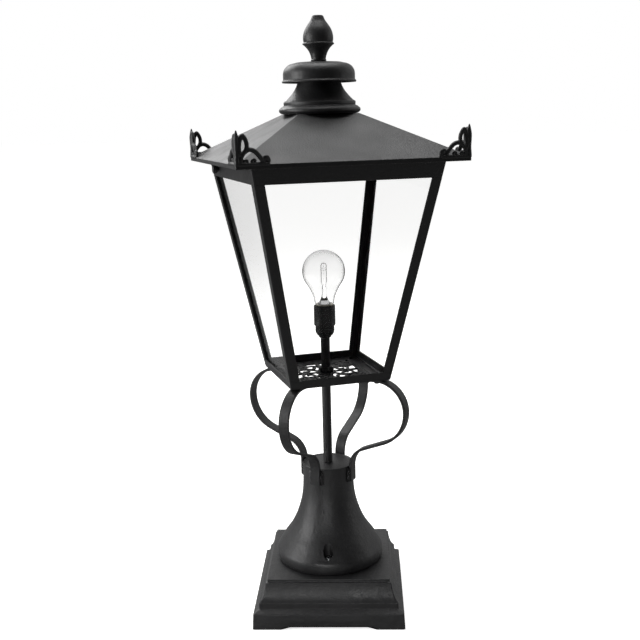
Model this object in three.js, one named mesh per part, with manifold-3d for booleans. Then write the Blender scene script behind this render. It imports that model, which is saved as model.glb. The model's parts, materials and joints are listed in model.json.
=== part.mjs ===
// Pedestal street lantern: a square moulded plinth, a flared bell column, four scrolled straps
// and a tapered four-pane lantern with a hinged roof, a clear lamp and a turned finial.
// Millimetres, +Z up. The origin is the centre of the plinth's underside, and the plinth's front
// faces -Y. The head (straps, lantern and roof) is turned about +Z by HEAD_TURN.
import * as THREE from 'three';
import { mergeVertices } from 'three/addons/utils/BufferGeometryUtils.js';
import Module from 'manifold-3d';

// ---------------------------------------------------------------- driving dimensions
const GAP = 0.3; // clearance between pieces that touch
const HEAD_TURN = 19.5; // degrees
const QUARTER = Math.PI / 2;

const PLINTH_HALF = 107; // half the side of the lower block at its foot
const BLOCK_DRAFT = 1.2; // how far each side of the block leans in by its top
const BLOCK_H = 22.5;
const RISER_HALF = 98; // half the side of the riser that stands on the block
const RISER_FOOT = 27; // the block's top slopes up to here
const RISER_TOP = 35.3;
const COVE_HALF = 88.5; // half the side at the top of the cove
const COVE_HOLLOW = [90.2, 44]; // control point of the cove's curve
const CREST_HALF = 86.2; // half the side of the flat top
const CREST_H = 4.5;
const PLINTH_H = 66;
const PLINTH_WALL = 7;
const FOOT_L = 40.5; // each corner foot, measured along the side from the corner
const RELIEF_H = 12; // height of the set-back panel between two feet
const RELIEF_DEPTH = 4;
const RELIEF_CLEAR = 2; // the panel's lower edge stands clear of the floor
const PAD = 36; // solid square inside each corner
const PAD_H = 14;
const INSERT_R = 4;
const INSERT_AT = 85; // hold-down inserts, from the centre along X and along Y
const INSERT_DEPTH = 11;
const CABLE_WAY_R = 44; // opening in the plinth's top, under the bell

const BELL_FOOT_R = 76;
const BELL_R = 77.7;
const NECK_R = 36.5;
const NECK_TOP = 210;
const NECK_BORE_R = 28;
const BELL_BORE_R = 50;
const RECESS_R = 32.5; // seat of the neck plate
const PLATE_T = 3.4;
const FIXING_R = 66.5; // circle of the bell's fixing screws
const FIXING_COUNT = 3;
const COUNTERBORE_R = 6.8;
const COUNTERBORE_Z = 84;
const M5 = 2.5;

const TUBE_R = 6.5;
const TUBE_BORE_R = 4.5;
const SPIGOT_R = 5.6; // the tube's reduced foot, which passes through the neck plate
const TUBE_FOOT = 190;
const TUBE_TOP = 398;
const NUT_R = 11; // across the corners of a tube nut
const NUT_H = 7;

const FRAME_Z = 343.4; // underside of the lantern
const EAVE_Z = 643.4; // top of the lantern's upper frame
const BOTTOM_HALF = 71.5;
const TOP_HALF = 129.3;
const SHEET = 2.5; // wall of the frame's angle section
const LEDGE = 18; // inward leg of the lower rail
const TOP_LEDGE = 14; // inward leg of the upper rail
const BOTTOM_RAIL_H = 12;
const TOP_RAIL_H = 21;
const POST_LEG = 14;
const PANE_T = 3;
const PANE_TOP = 628;
const PANE_MARGIN = 7;

const STRAP_W = 15;
const STRAP_T = 4;
const STRAP_FROM = 58; // inner end under the grid, from the axis
const STRAP_REACH = 124; // widest point of the scroll
const STRAP_WIDEST_Z = 298;
const STRAP_LOWER_R = 50;
const STRAP_SLOPE = 22; // degrees below the horizontal where the scroll runs back in
const STRAP_RUN = 37;
const STRAP_ON_NECK = 39.3;
const STRAP_TAIL = 22;
const GRID_SCREW_R = 66; // where each strap is screwed to the grid, from the axis
const FRAME_SCREW_R = 80; // where each strap is screwed to the bottom frame
const M4 = 2;

const EAVE_HALF = 153;
const LIP_TOP = 649.2;
const ROOF_TOP = 706.6;
const ROOF_TOP_HALF = 42;
const ROOF_SHEET = 2;
const SOFFIT_HALF = 110;
const ORNAMENT_T = 4;
const ORNAMENT_FOOT = LIP_TOP - 1;

const CHIMNEY_TOP = 765;
const CAP_TOP = 775.5;
const ROD_R = 3;
const ROD_FOOT = 694;
const ROD_TOP = 795;

const TERMINAL_TOP = PLINTH_H - PLINTH_WALL - GAP;
const TERMINAL_H = 17;
const TERMINAL_HALF = 24;
const TERMINAL_FRONT = 50;
const TERMINAL_BACK = 72;
const LEAD_R = 2.2;

const HOLDER_R = 15.5;
const HOLDER_SEAM = 413.5;
const HOLDER_TOP = 442;
const BULB_R = 30;
const BULB_Z = 490.5; // centre of the globe
const BULB_CAP_R = 13.1;
const BULB_CAP_FOOT = 422;
const BULB_CAP_TOP = 444.5;
const GLOBE_WALL = 1;

const HINGE_X = 133.5; // roof hinge axis, in the head's frame
const HINGE_Z = 640;
const HINGE_W = 90;
const KNUCKLE_R = 2.8;
const PIN_R = 1.3;
const LEAF_T = 1.6;
const LEAF_DROP = 16; // how far the frame leaf reaches below the pin
const CATCH_T = 1.6;
const CATCH_W = 18;
const THUMB_Y = 72;
const THUMB_Z = 634;
const THUMB_R = 6;
const THUMB_TIP = 112; // tip and seat of the thumbscrew, outwards from the axis
const THUMB_SEAT = 129;

// ---------------------------------------------------------------- solids
const wasm = await Module();
wasm.setup();

function toSolid(geometry) {
  const bare = geometry.index ? geometry.toNonIndexed() : geometry.clone();
  bare.deleteAttribute('normal');
  bare.deleteAttribute('uv');
  const merged = mergeVertices(bare, 1e-3);
  return new wasm.Manifold(
    new wasm.Mesh({
      numProp: 3,
      vertProperties: merged.attributes.position.array,
      triVerts: new Uint32Array(merged.index.array),
    }),
  );
}

function toGeometry(solid) {
  const made = solid.getMesh();
  const geometry = new THREE.BufferGeometry();
  geometry.setAttribute('position', new THREE.BufferAttribute(made.vertProperties, 3));
  geometry.setIndex(new THREE.BufferAttribute(made.triVerts, 1));
  geometry.computeVertexNormals();
  return geometry;
}

const cut = (from, ...tools) =>
  toGeometry(tools.reduce((solid, tool) => solid.subtract(toSolid(tool)), toSolid(from)));

const join = (first, ...others) =>
  toGeometry(others.reduce((solid, other) => solid.add(toSolid(other)), toSolid(first)));

// A turned piece: points are [radius, height], with the outside running upwards.
function turned(points, segments = 32) {
  const profile = points.map(([r, z]) => new THREE.Vector2(r, z));
  return new THREE.LatheGeometry(profile, segments).rotateX(QUARTER);
}

// A square moulding: points are [half side, height], mitred at the four corners.
function squared(points) {
  const profile = points.map(([half, z]) => new THREE.Vector2(half * Math.SQRT2, z));
  return new THREE.LatheGeometry(profile, 4, Math.PI / 4).rotateX(QUARTER);
}

// The first point again at the end closes a ring's profile on itself.
const closed = (points) => [...points, points[0]];

function cylinder(radius, from, to, x = 0, y = 0, segments = 16) {
  const height = to - from;
  const geometry = new THREE.CylinderGeometry(radius, radius, height, segments);
  return geometry.rotateX(QUARTER).translate(x, y, from + height / 2);
}

function block(x0, x1, y0, y1, z0, z1) {
  const geometry = new THREE.BoxGeometry(x1 - x0, y1 - y0, z1 - z0);
  return geometry.translate((x0 + x1) / 2, (y0 + y1) / 2, (z0 + z1) / 2);
}

function ring(inner, outer, from, to, segments = 24) {
  return turned(closed([[inner, from], [outer, from], [outer, to], [inner, to]]), segments);
}

// Points on an ellipse round (x, y), between two angles in degrees.
function arc(x, y, a, b, start, end, steps) {
  return Array.from({ length: steps + 1 }, (_, i) => {
    const angle = THREE.MathUtils.degToRad(start + ((end - start) * i) / steps);
    return [x + a * Math.cos(angle), y + b * Math.sin(angle)];
  });
}

function outline(points) {
  return new THREE.Shape(points.map(([x, y]) => new THREE.Vector2(x, y)));
}

// An outline in the X-Z plane, given its thickness along Y and centred on it.
function plate(shape, thickness) {
  const geometry = new THREE.ExtrudeGeometry(shape, {
    depth: thickness,
    bevelEnabled: false,
    curveSegments: 3,
  });
  return geometry.translate(0, 0, -thickness / 2).rotateX(QUARTER);
}

// Half the lantern's width at a height, over the outer faces of its frame.
const slope = (TOP_HALF - BOTTOM_HALF) / (EAVE_Z - FRAME_Z);
const halfAt = (z) => BOTTOM_HALF + slope * (z - FRAME_Z);

// A box whose sides follow the lantern's taper. Each side is [sign, inset]: a face that lies
// inset inside the lantern's outer face, on its positive or its negative side.
function tapered(xLow, xHigh, yLow, yHigh, from, to) {
  const geometry = new THREE.BoxGeometry(1, 1, 1);
  const position = geometry.attributes.position;
  const at = ([sign, inset], z) => sign * (halfAt(z) - inset);
  for (let i = 0; i < position.count; i += 1) {
    const z = position.getZ(i) > 0 ? to : from;
    const x = at(position.getX(i) > 0 ? xHigh : xLow, z);
    const y = at(position.getY(i) > 0 ? yHigh : yLow, z);
    position.setXYZ(i, x, y, z);
  }
  return geometry;
}

// ---------------------------------------------------------------- assembly
const lamp = new THREE.Group();
const head = new THREE.Group();
head.rotation.z = THREE.MathUtils.degToRad(HEAD_TURN);
lamp.add(head);

const FINISHES = {
  coat: { color: 0x2b2b2c, roughness: 0.62, metalness: 0.3 },
  casting: { color: 0x333435, roughness: 0.7, metalness: 0.3 },
  bakelite: { color: 0x0c0c0d, roughness: 0.18, metalness: 0 },
  zinc: { color: 0xa8abad, roughness: 0.35, metalness: 1 },
  nickel: { color: 0xc9c6bd, roughness: 0.25, metalness: 1 },
  glass: { color: 0xeef2f2, roughness: 0.03, metalness: 0 },
  ceramic: { color: 0xeae6dc, roughness: 0.4, metalness: 0 },
  rubber: { color: 0x1b1b1b, roughness: 0.8, metalness: 0 },
  tungsten: { color: 0x77736c, roughness: 0.4, metalness: 1 },
};

function add(name, geometry, finish, parent = lamp) {
  const mesh = new THREE.Mesh(geometry, new THREE.MeshStandardMaterial(FINISHES[finish]));
  mesh.name = name;
  parent.add(mesh);
  return mesh;
}

// The same piece at each corner or side of the head, a quarter turn apart.
const SIDES = ['front', 'right', 'back', 'left'];
const CORNERS = ['front_right', 'back_right', 'back_left', 'front_left'];
function addAround(prefix, names, geometry, finish, startTurn) {
  names.forEach((name, i) => {
    const mesh = add(`${prefix}_${name}`, geometry, finish, head);
    mesh.rotation.z = startTurn + i * QUARTER;
  });
}

// ---------------------------------------------------------------- plinth
function plinth() {
  const coveTop = PLINTH_H - CREST_H;
  const ceiling = PLINTH_H - PLINTH_WALL;
  const blockTop = PLINTH_HALF - BLOCK_DRAFT;
  const cove = new THREE.QuadraticBezierCurve(
    new THREE.Vector2(RISER_HALF - 0.8, RISER_TOP + 0.6),
    new THREE.Vector2(...COVE_HOLLOW),
    new THREE.Vector2(COVE_HALF, coveTop),
  );
  const body = squared([
    [0, ceiling],
    [COVE_HALF - PLINTH_WALL, ceiling],
    [RISER_HALF - 1.5 * PLINTH_WALL, RISER_FOOT],
    [PLINTH_HALF - PLINTH_WALL, BLOCK_H - PLINTH_WALL],
    [PLINTH_HALF - PLINTH_WALL, 0],
    [PLINTH_HALF, 0],
    [blockTop, BLOCK_H - 1],
    [blockTop - 1, BLOCK_H + 0.3],
    [RISER_HALF, RISER_FOOT],
    [RISER_HALF, RISER_TOP],
    ...cove.getPoints(7).map((p) => [p.x, p.y]),
    [CREST_HALF, coveTop + 0.8],
    [CREST_HALF, PLINTH_H],
    [0, PLINTH_H],
  ]);
  const half = PLINTH_HALF - FOOT_L;
  const relief = outline([
    [-half - 1, -1],
    [half + 1, -1],
    [half - RELIEF_H, RELIEF_H],
    [-half + RELIEF_H, RELIEF_H],
  ]);
  const tools = [cylinder(CABLE_WAY_R, ceiling - 5, PLINTH_H + 5, 0, 0, 32)];
  for (let side = 0; side < 4; side += 1) {
    const turn = side * QUARTER;
    const panel = plate(relief, 2 * RELIEF_DEPTH).translate(0, -PLINTH_HALF, 0);
    const slotHalf = half - RELIEF_CLEAR;
    const slot = block(-slotHalf, slotHalf, -PLINTH_HALF - 1, -PLINTH_HALF + PAD, -1, RELIEF_CLEAR);
    tools.push(panel.rotateZ(turn), slot.rotateZ(turn));
  }
  const pads = [];
  for (const [x, y] of [[1, 1], [-1, 1], [-1, -1], [1, -1]]) {
    const near = PLINTH_HALF - 5 - PAD;
    const far = PLINTH_HALF - 5;
    const xs = [x * near, x * far].sort((a, b) => a - b);
    const ys = [y * near, y * far].sort((a, b) => a - b);
    pads.push(block(...xs, ...ys, 0, PAD_H));
    tools.push(cylinder(INSERT_R, -1, INSERT_DEPTH, x * INSERT_AT, y * INSERT_AT, 12));
  }
  for (let i = 0; i < FIXING_COUNT; i += 1) {
    const [x, y] = fixing(i);
    tools.push(cylinder(M5 + GAP, ceiling - 5, PLINTH_H + 5, x, y, 12));
  }
  return cut(join(body, ...pads), ...tools);
}

// The bell's fixings stand on a circle, the first at the front.
function fixing(i) {
  const angle = -QUARTER + (i * 2 * Math.PI) / FIXING_COUNT;
  return [FIXING_R * Math.cos(angle), FIXING_R * Math.sin(angle)];
}

add('plinth', plinth(), 'casting');

// ---------------------------------------------------------------- bell column
function bell() {
  const foot = PLINTH_H + GAP;
  const seat = NECK_TOP - PLATE_T - GAP;
  const flare = new THREE.SplineCurve(
    [
      [BELL_R, 80],
      [74.2, 87],
      [66.2, 100],
      [56.6, 113.3],
      [48.5, 128.5],
      [41.8, 147.5],
      [38.4, 163],
      [37, 178],
      [NECK_R, 200],
    ].map(([r, z]) => new THREE.Vector2(r, z)),
  );
  const outside = flare.getPoints(11).map((p) => [p.x, p.y]);
  const profile = closed([
    [BELL_FOOT_R, foot],
    [BELL_R, foot + 8],
    ...outside,
    [NECK_R, NECK_TOP],
    [RECESS_R, NECK_TOP],
    [RECESS_R, seat],
    [NECK_BORE_R, seat],
    [NECK_BORE_R, 168],
    [33, 148],
    [41, 125],
    [BELL_BORE_R, 106],
    [BELL_BORE_R, foot],
  ]);
  const tools = [];
  for (let i = 0; i < FIXING_COUNT; i += 1) {
    const [x, y] = fixing(i);
    tools.push(cylinder(COUNTERBORE_R, COUNTERBORE_Z, COUNTERBORE_Z + 50, x, y, 16));
    tools.push(cylinder(M5 + GAP, foot - 1, COUNTERBORE_Z + 1, x, y, 12));
  }
  return cut(turned(profile, 32), ...tools);
}

// A pan-headed screw, head up, with its shank running down to foot.
function screw(shank, headR, under, headH, foot) {
  return turned(
    [
      [0, foot],
      [shank, foot],
      [shank, under],
      [headR, under],
      [headR, under + headH * 0.55],
      [headR * 0.8, under + headH],
      [0, under + headH],
    ],
    12,
  );
}

add('bell', bell(), 'casting');
for (let i = 0; i < FIXING_COUNT; i += 1) {
  const [x, y] = fixing(i);
  const foot = PLINTH_H - PLINTH_WALL + 1;
  const fastener = add(`bell_screw_${i + 1}`, screw(M5, 4.6, COUNTERBORE_Z + GAP, 3.6, foot), 'zinc');
  fastener.position.set(x, y, 0);
}

// ---------------------------------------------------------------- stem and its nuts
// A hexagonal nut on the tube.
function nut(radius, bore, from, to) {
  return cut(cylinder(radius, from, to, 0, 0, 6), cylinder(bore, from - 1, to + 1));
}

const plateTop = NECK_TOP - GAP;
const gridTop = FRAME_Z + SHEET;
const nutBore = TUBE_R + GAP;
const spigotBore = SPIGOT_R + GAP;
const underPlate = plateTop - PLATE_T - GAP;
add('neck_plate', ring(spigotBore, RECESS_R - GAP, plateTop - PLATE_T, plateTop), 'coat');
// The tube's shoulder stands on the neck plate, and a nut on the spigot draws it down.
add('stem_tube', turned(closed([
  [TUBE_BORE_R, TUBE_FOOT],
  [SPIGOT_R, TUBE_FOOT],
  [SPIGOT_R, NECK_TOP],
  [TUBE_R, NECK_TOP],
  [TUBE_R, TUBE_TOP],
  [TUBE_BORE_R, TUBE_TOP],
]), 20), 'coat');
add('neck_nut', nut(NUT_R, spigotBore, underPlate - NUT_H, underPlate), 'zinc');
add('grid_nut_upper', nut(NUT_R, nutBore, gridTop + GAP, gridTop + GAP + NUT_H), 'coat', head);
add('grid_nut_lower', nut(NUT_R, nutBore, FRAME_Z - GAP - NUT_H, FRAME_Z - GAP), 'coat', head);

// ---------------------------------------------------------------- straps
// The centre line of one strap in its own upright plane, as [radius, height]: flat under the
// grid, out round the scroll, back in on a straight, then down the neck.
function strapLine() {
  const top = FRAME_Z - GAP - STRAP_T / 2;
  const upperR = top - STRAP_WIDEST_Z;
  const outer = arc(STRAP_REACH - upperR, STRAP_WIDEST_Z, upperR, upperR, 90, 0, 9);
  const centre = STRAP_REACH - STRAP_LOWER_R;
  const turn = 90 - STRAP_SLOPE;
  const lower = arc(centre, STRAP_WIDEST_Z, STRAP_LOWER_R, STRAP_LOWER_R, 0, -turn, 6);
  const dip = THREE.MathUtils.degToRad(STRAP_SLOPE);
  const [r, z] = lower.at(-1);
  const [inR, inZ] = [r - STRAP_RUN * Math.cos(dip), z - STRAP_RUN * Math.sin(dip)];
  const bend = (inR - STRAP_ON_NECK) / (1 - Math.sin(dip));
  const drop = bend * Math.cos(dip);
  const neck = arc(STRAP_ON_NECK + bend, inZ - drop, bend, bend, 90 + STRAP_SLOPE, 180, 6);
  return [
    [STRAP_FROM, top],
    ...outer,
    ...lower.slice(1),
    ...neck,
    [STRAP_ON_NECK, inZ - drop - STRAP_TAIL],
  ];
}

// A flat bar of even thickness along a line, as an outline.
function barOutline(line, thickness) {
  const sides = [[], []];
  line.forEach(([x, y], i) => {
    const before = line[Math.max(i - 1, 0)];
    const after = line[Math.min(i + 1, line.length - 1)];
    const along = new THREE.Vector2(after[0] - before[0], after[1] - before[1]).normalize();
    const half = thickness / 2;
    sides[0].push([x - along.y * half, y + along.x * half]);
    sides[1].unshift([x + along.y * half, y - along.x * half]);
  });
  return outline([...sides[0], ...sides[1]]);
}

const strapHoles = [GRID_SCREW_R, FRAME_SCREW_R].map((r) =>
  cylinder(M4 + GAP, FRAME_Z - 10, FRAME_Z + 10, r, 0, 12),
);
const strap = cut(plate(barOutline(strapLine(), STRAP_T), STRAP_W), ...strapHoles);
addAround('strap', CORNERS, strap, 'coat', -QUARTER / 2);

// Each strap's two screws enter from below: head down, shank up through the strap.
function strapScrew(radius) {
  const under = FRAME_Z - GAP - STRAP_T - GAP;
  const upright = screw(M4, 3.9, -under, 2.8, -(gridTop + 2));
  return upright.rotateX(Math.PI).translate(radius, 0, 0);
}
addAround('grid_screw', CORNERS, strapScrew(GRID_SCREW_R), 'coat', -QUARTER / 2);
addAround('frame_screw', CORNERS, strapScrew(FRAME_SCREW_R), 'coat', -QUARTER / 2);

// ---------------------------------------------------------------- lantern frame
function bottomFrame() {
  const railTop = FRAME_Z + BOTTOM_RAIL_H;
  const body = squared(
    closed([
      [BOTTOM_HALF - LEDGE, FRAME_Z],
      [BOTTOM_HALF, FRAME_Z],
      [halfAt(railTop), railTop],
      [halfAt(railTop) - SHEET, railTop],
      [halfAt(gridTop) - SHEET, gridTop],
      [BOTTOM_HALF - LEDGE, gridTop],
    ]),
  );
  return cut(body, ...cornerHoles(FRAME_SCREW_R));
}

// A screw hole at each corner of the head, at a radius from the axis.
function cornerHoles(radius) {
  return CORNERS.map((_, i) => {
    const hole = cylinder(M4 + GAP, FRAME_Z - 5, gridTop + 5, radius, 0, 12);
    return hole.rotateZ(-QUARTER / 2 + i * QUARTER);
  });
}

function topFrame() {
  const foot = EAVE_Z - TOP_RAIL_H;
  const under = EAVE_Z - SHEET;
  const body = squared(
    closed([
      [TOP_HALF - TOP_LEDGE, under],
      [halfAt(under) - SHEET, under],
      [halfAt(foot) - SHEET, foot],
      [halfAt(foot), foot],
      [TOP_HALF, EAVE_Z],
      [TOP_HALF - TOP_LEDGE, EAVE_Z],
    ]),
  );
  return cut(body, thumbHole());
}

// A hole along the head's X for the thumbscrew, through the left rail.
function thumbHole() {
  const hole = cylinder(M4 + GAP, TOP_HALF - 9, TOP_HALF + 5, 0, 0, 12);
  return hole.rotateY(-QUARTER).translate(0, THUMB_Y, THUMB_Z);
}

function cornerPost() {
  const from = FRAME_Z + BOTTOM_RAIL_H + GAP;
  const to = EAVE_Z - TOP_RAIL_H - GAP;
  return join(
    tapered([1, POST_LEG], [1, 0], [1, SHEET], [1, 0], from, to),
    tapered([1, SHEET], [1, 0], [1, POST_LEG], [1, 0], from, to),
  );
}

function pane() {
  const near = SHEET + GAP;
  const sides = [[-1, PANE_MARGIN], [1, PANE_MARGIN]];
  return tapered(...sides, [-1, near], [-1, near + PANE_T], gridTop + GAP, PANE_TOP);
}

// The pierced plate that closes the lantern's floor: a frame of round openings round the stem.
function grid() {
  const half = BOTTOM_HALF - LEDGE - GAP;
  const shape = outline([[-half, -half], [half, -half], [half, half], [-half, half]]);
  const hole = (x, y, r) => {
    const path = new THREE.Path();
    path.absarc(x, y, r, 0, 2 * Math.PI, true);
    shape.holes.push(path);
  };
  for (let i = 0; i < 8; i += 1) {
    const angle = (i * Math.PI) / 4;
    const diagonal = i % 2 === 1;
    const reach = diagonal ? 41 : 30;
    hole(reach * Math.cos(angle), reach * Math.sin(angle), diagonal ? 12 : 11);
    const tip = 46.5;
    if (!diagonal) hole(tip * Math.cos(angle), tip * Math.sin(angle), 3.2);
  }
  const sheet = plate(shape, SHEET).rotateX(QUARTER).translate(0, 0, FRAME_Z + SHEET / 2);
  const stemHole = cylinder(TUBE_R + GAP, FRAME_Z - 5, gridTop + 5);
  return cut(sheet, stemHole, ...cornerHoles(GRID_SCREW_R));
}

add('bottom_frame', bottomFrame(), 'coat', head);
add('top_frame', topFrame(), 'coat', head);
addAround('corner_post', CORNERS, cornerPost(), 'coat', -QUARTER);
addAround('pane', SIDES, pane(), 'glass', 0);
add('floor_grid', grid(), 'coat', head);

// ---------------------------------------------------------------- lampholder and lamp
add('holder_dome', turned(closed([
  [TUBE_R + GAP, 396],
  [8.6, 396],
  [8.8, 398],
  ...arc(8.8, 410.5, 4.8, 11, -75, 0, 5),
  [13.6, HOLDER_SEAM - GAP],
  [12, HOLDER_SEAM - GAP],
  [11.5, 409],
  [TUBE_R + GAP, 403],
]), 18), 'bakelite', head);

add('holder_sleeve', turned(closed([
  [14, HOLDER_SEAM],
  [HOLDER_R - 0.4, HOLDER_SEAM],
  [HOLDER_R, HOLDER_SEAM + 1],
  [HOLDER_R, HOLDER_TOP - 1],
  [HOLDER_R - 0.4, HOLDER_TOP],
  [14, HOLDER_TOP],
]), 18), 'bakelite', head);

add('holder_contact', turned([
  [0, HOLDER_SEAM],
  [12, HOLDER_SEAM],
  [13.6, HOLDER_SEAM + 0.5],
  [13.6, HOLDER_SEAM + 4.5],
  [5, HOLDER_SEAM + 4.5],
  [4, HOLDER_SEAM + 7],
  [0, HOLDER_SEAM + 7],
], 12), 'ceramic', head);

// The terminal block hangs under the plinth's top, behind the opening. The lead leaves its
// front, rises in a curve to the column's axis and runs straight up the tube to the holder.
add(
  'terminal_block',
  block(
    -TERMINAL_HALF,
    TERMINAL_HALF,
    TERMINAL_FRONT,
    TERMINAL_BACK,
    TERMINAL_TOP - TERMINAL_H,
    TERMINAL_TOP,
  ),
  'ceramic',
);

function lead() {
  const start = TERMINAL_TOP - TERMINAL_H / 2;
  const route = new THREE.CurvePath();
  const rise = new THREE.CubicBezierCurve3(
    new THREE.Vector3(0, TERMINAL_FRONT - GAP, start),
    new THREE.Vector3(0, TERMINAL_FRONT - 40, start),
    new THREE.Vector3(0, 0, start + 40),
    new THREE.Vector3(0, 0, TUBE_FOOT - 15),
  );
  const straight = new THREE.LineCurve3(rise.v3, new THREE.Vector3(0, 0, HOLDER_SEAM - GAP));
  route.add(rise);
  route.add(straight);
  return new THREE.ExtrudeGeometry(outline(arc(0, 0, LEAD_R, LEAD_R, 0, 315, 7)), {
    steps: 30,
    bevelEnabled: false,
    extrudePath: route,
  });
}
add('lead_wire', lead(), 'rubber');

add('bulb_cap', turned([
  [0, BULB_CAP_FOOT],
  [4.5, BULB_CAP_FOOT],
  [9, BULB_CAP_FOOT + 2.5],
  [BULB_CAP_R, BULB_CAP_FOOT + 5],
  [BULB_CAP_R, BULB_CAP_TOP],
  [0, BULB_CAP_TOP],
], 18), 'nickel', head);

// The globe: neck, shoulder and dome, open at the foot where the cap closes it.
function globe() {
  const skin = (inset) => [
    [13.9 - inset, BULB_CAP_TOP + GAP],
    [14.2 - inset, 449],
    [16.5 - inset, 458],
    [21.5 - inset, 467.5],
    ...arc(0, BULB_Z, BULB_R - inset, BULB_R - inset, -34, 80, 8),
    [0, BULB_Z + BULB_R - inset],
  ];
  return turned([...skin(GLOBE_WALL).reverse(), ...skin(0)], 18);
}

add('bulb_globe', globe(), 'glass', head);
add('bulb_stem', turned([
  [0, BULB_CAP_TOP + GAP],
  [9, BULB_CAP_TOP + GAP],
  [6.5, 451],
  [3.2, 456],
  [2.4, 468],
  [1.3, 470],
  [1.1, 496],
  [0, 497],
], 12), 'glass', head);

// The filament is a hairpin that stands on the stem: up one side, over the mount and down the other.
function filament() {
  const points = [
    [-3.8, 474],
    [-3.8, 496],
    [-2.6, 500.5],
    [0, 502],
    [2.6, 500.5],
    [3.8, 496],
    [3.8, 474],
  ].map(([x, z]) => new THREE.Vector3(x, 0, z));
  const section = outline(arc(0, 0, 0.6, 0.6, 0, 300, 5));
  return new THREE.ExtrudeGeometry(section, {
    steps: 20,
    bevelEnabled: false,
    extrudePath: new THREE.CatmullRomCurve3(points),
  });
}
add('bulb_filament', filament(), 'tungsten', head);

// ---------------------------------------------------------------- roof
const ROOF_FOOT = EAVE_Z + GAP;
const pitch = (ROOF_TOP - LIP_TOP) / (EAVE_HALF - ROOF_TOP_HALF);

function roof() {
  const drop = ROOF_SHEET * Math.hypot(1, pitch);
  const lip = EAVE_HALF - ROOF_SHEET;
  const underLip = LIP_TOP + pitch * ROOF_SHEET - drop;
  const body = squared([
    [0, ROOF_TOP - ROOF_SHEET],
    [ROOF_TOP_HALF - ROOF_SHEET / 2, ROOF_TOP - ROOF_SHEET],
    [lip, underLip],
    [lip, ROOF_FOOT + ROOF_SHEET],
    [SOFFIT_HALF, ROOF_FOOT + ROOF_SHEET],
    [SOFFIT_HALF, ROOF_FOOT],
    [EAVE_HALF, ROOF_FOOT],
    [EAVE_HALF, LIP_TOP],
    [ROOF_TOP_HALF, ROOF_TOP],
    [0, ROOF_TOP],
  ]);
  const vents = Array.from({ length: 6 }, (_, i) => {
    const angle = (i * Math.PI) / 3;
    const [x, y] = [24 * Math.cos(angle), 24 * Math.sin(angle)];
    return cylinder(5, ROOF_TOP - 10, ROOF_TOP + 5, x, y, 12);
  });
  return cut(body, cylinder(ROD_R + GAP, ROOF_TOP - 10, ROOF_TOP + 5), ...vents);
}

// One pierced wing of a corner ornament, along the eave from the corner: a tall leaf, an
// upright loop with a narrow slot, a lower arch and a small knob at the end.
function wing() {
  const shape = new THREE.Shape();
  shape.moveTo(0, 0);
  shape.lineTo(38, 0);
  shape.quadraticCurveTo(41, 3, 40.5, 8);
  shape.quadraticCurveTo(38.5, 12, 35.2, 11);
  shape.quadraticCurveTo(32.6, 9.5, 32.6, 6);
  shape.quadraticCurveTo(27, 20, 15.5, 20.6);
  shape.quadraticCurveTo(15, 31, 8.5, 36.6);
  shape.quadraticCurveTo(5, 38, 3.4, 33.5);
  shape.quadraticCurveTo(2.6, 38, 0, 42);
  shape.closePath();
  const openings = [
    [18, 9.5, 8, 5.6],
    [7, 25.5, 1.9, 6.6],
  ];
  for (const [x, y, a, b] of openings) {
    const path = new THREE.Path();
    path.absellipse(x, y, a, b, 0, 2 * Math.PI, true);
    shape.holes.push(path);
  }
  return plate(shape, ORNAMENT_T);
}

function cornerOrnament() {
  const middle = EAVE_HALF - ORNAMENT_T / 2;
  const along = wing().rotateZ(Math.PI).translate(EAVE_HALF, middle, ORNAMENT_FOOT);
  const across = wing().rotateZ(-QUARTER).translate(middle, EAVE_HALF, ORNAMENT_FOOT);
  const clear = squared([
    [0, ROOF_FOOT - 5],
    [EAVE_HALF + 5, ROOF_FOOT - 5],
    [EAVE_HALF + 5, LIP_TOP - 5 * pitch + GAP * 1.3],
    [ROOF_TOP_HALF, ROOF_TOP + GAP * 1.3],
    [0, ROOF_TOP + GAP * 1.3],
  ]);
  return cut(join(along, across), clear);
}

add('roof', roof(), 'coat', head);
addAround('corner_ornament', CORNERS, cornerOrnament(), 'casting', -QUARTER);

add('chimney', cut(turned([
  [0, CHIMNEY_TOP - 3],
  [25, CHIMNEY_TOP - 3],
  [25, 745],
  [34, 731],
  [42, 724],
  [45.5, 716],
  [45.5, ROOF_TOP + GAP],
  [49.5, ROOF_TOP + GAP],
  [53.5, 708],
  [55.4, 711.3],
  [54.6, 714.4],
  [51.4, 717.2],
  [48.6, 718.2],
  [48.2, 722.4],
  [45.6, 724.4],
  [39.2, 731.2],
  [34, 737.8],
  [30.6, 744],
  [29.2, 749],
  [28.4, 756],
  [28.4, CHIMNEY_TOP],
  [0, CHIMNEY_TOP],
], 28), cylinder(ROD_R + GAP, CHIMNEY_TOP - 10, CHIMNEY_TOP + 5), ...ventHoles()), 'casting', head);

// Six vents through the chimney's neck, hidden under the cap.
function ventHoles() {
  return [0, 1, 2].map((i) => {
    const through = cylinder(4, -40, 40, 0, 0, 10).rotateX(QUARTER);
    return through.rotateZ((i * Math.PI) / 3).translate(0, 0, CHIMNEY_TOP - 9);
  });
}

add('cap', turned(closed([
  [ROD_R + GAP, CHIMNEY_TOP + GAP],
  [30, CHIMNEY_TOP + GAP],
  [41, 763],
  [45, 757],
  [45.5, 748],
  [49.8, 748],
  [50.3, 749.6],
  [49.6, 751.2],
  [48.6, 752],
  [48.6, 758.5],
  ...arc(34, 758.5, 14.4, 15.2, 12, 90, 6),
  [ROD_R + GAP, CAP_TOP],
]), 28), 'casting', head);

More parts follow.
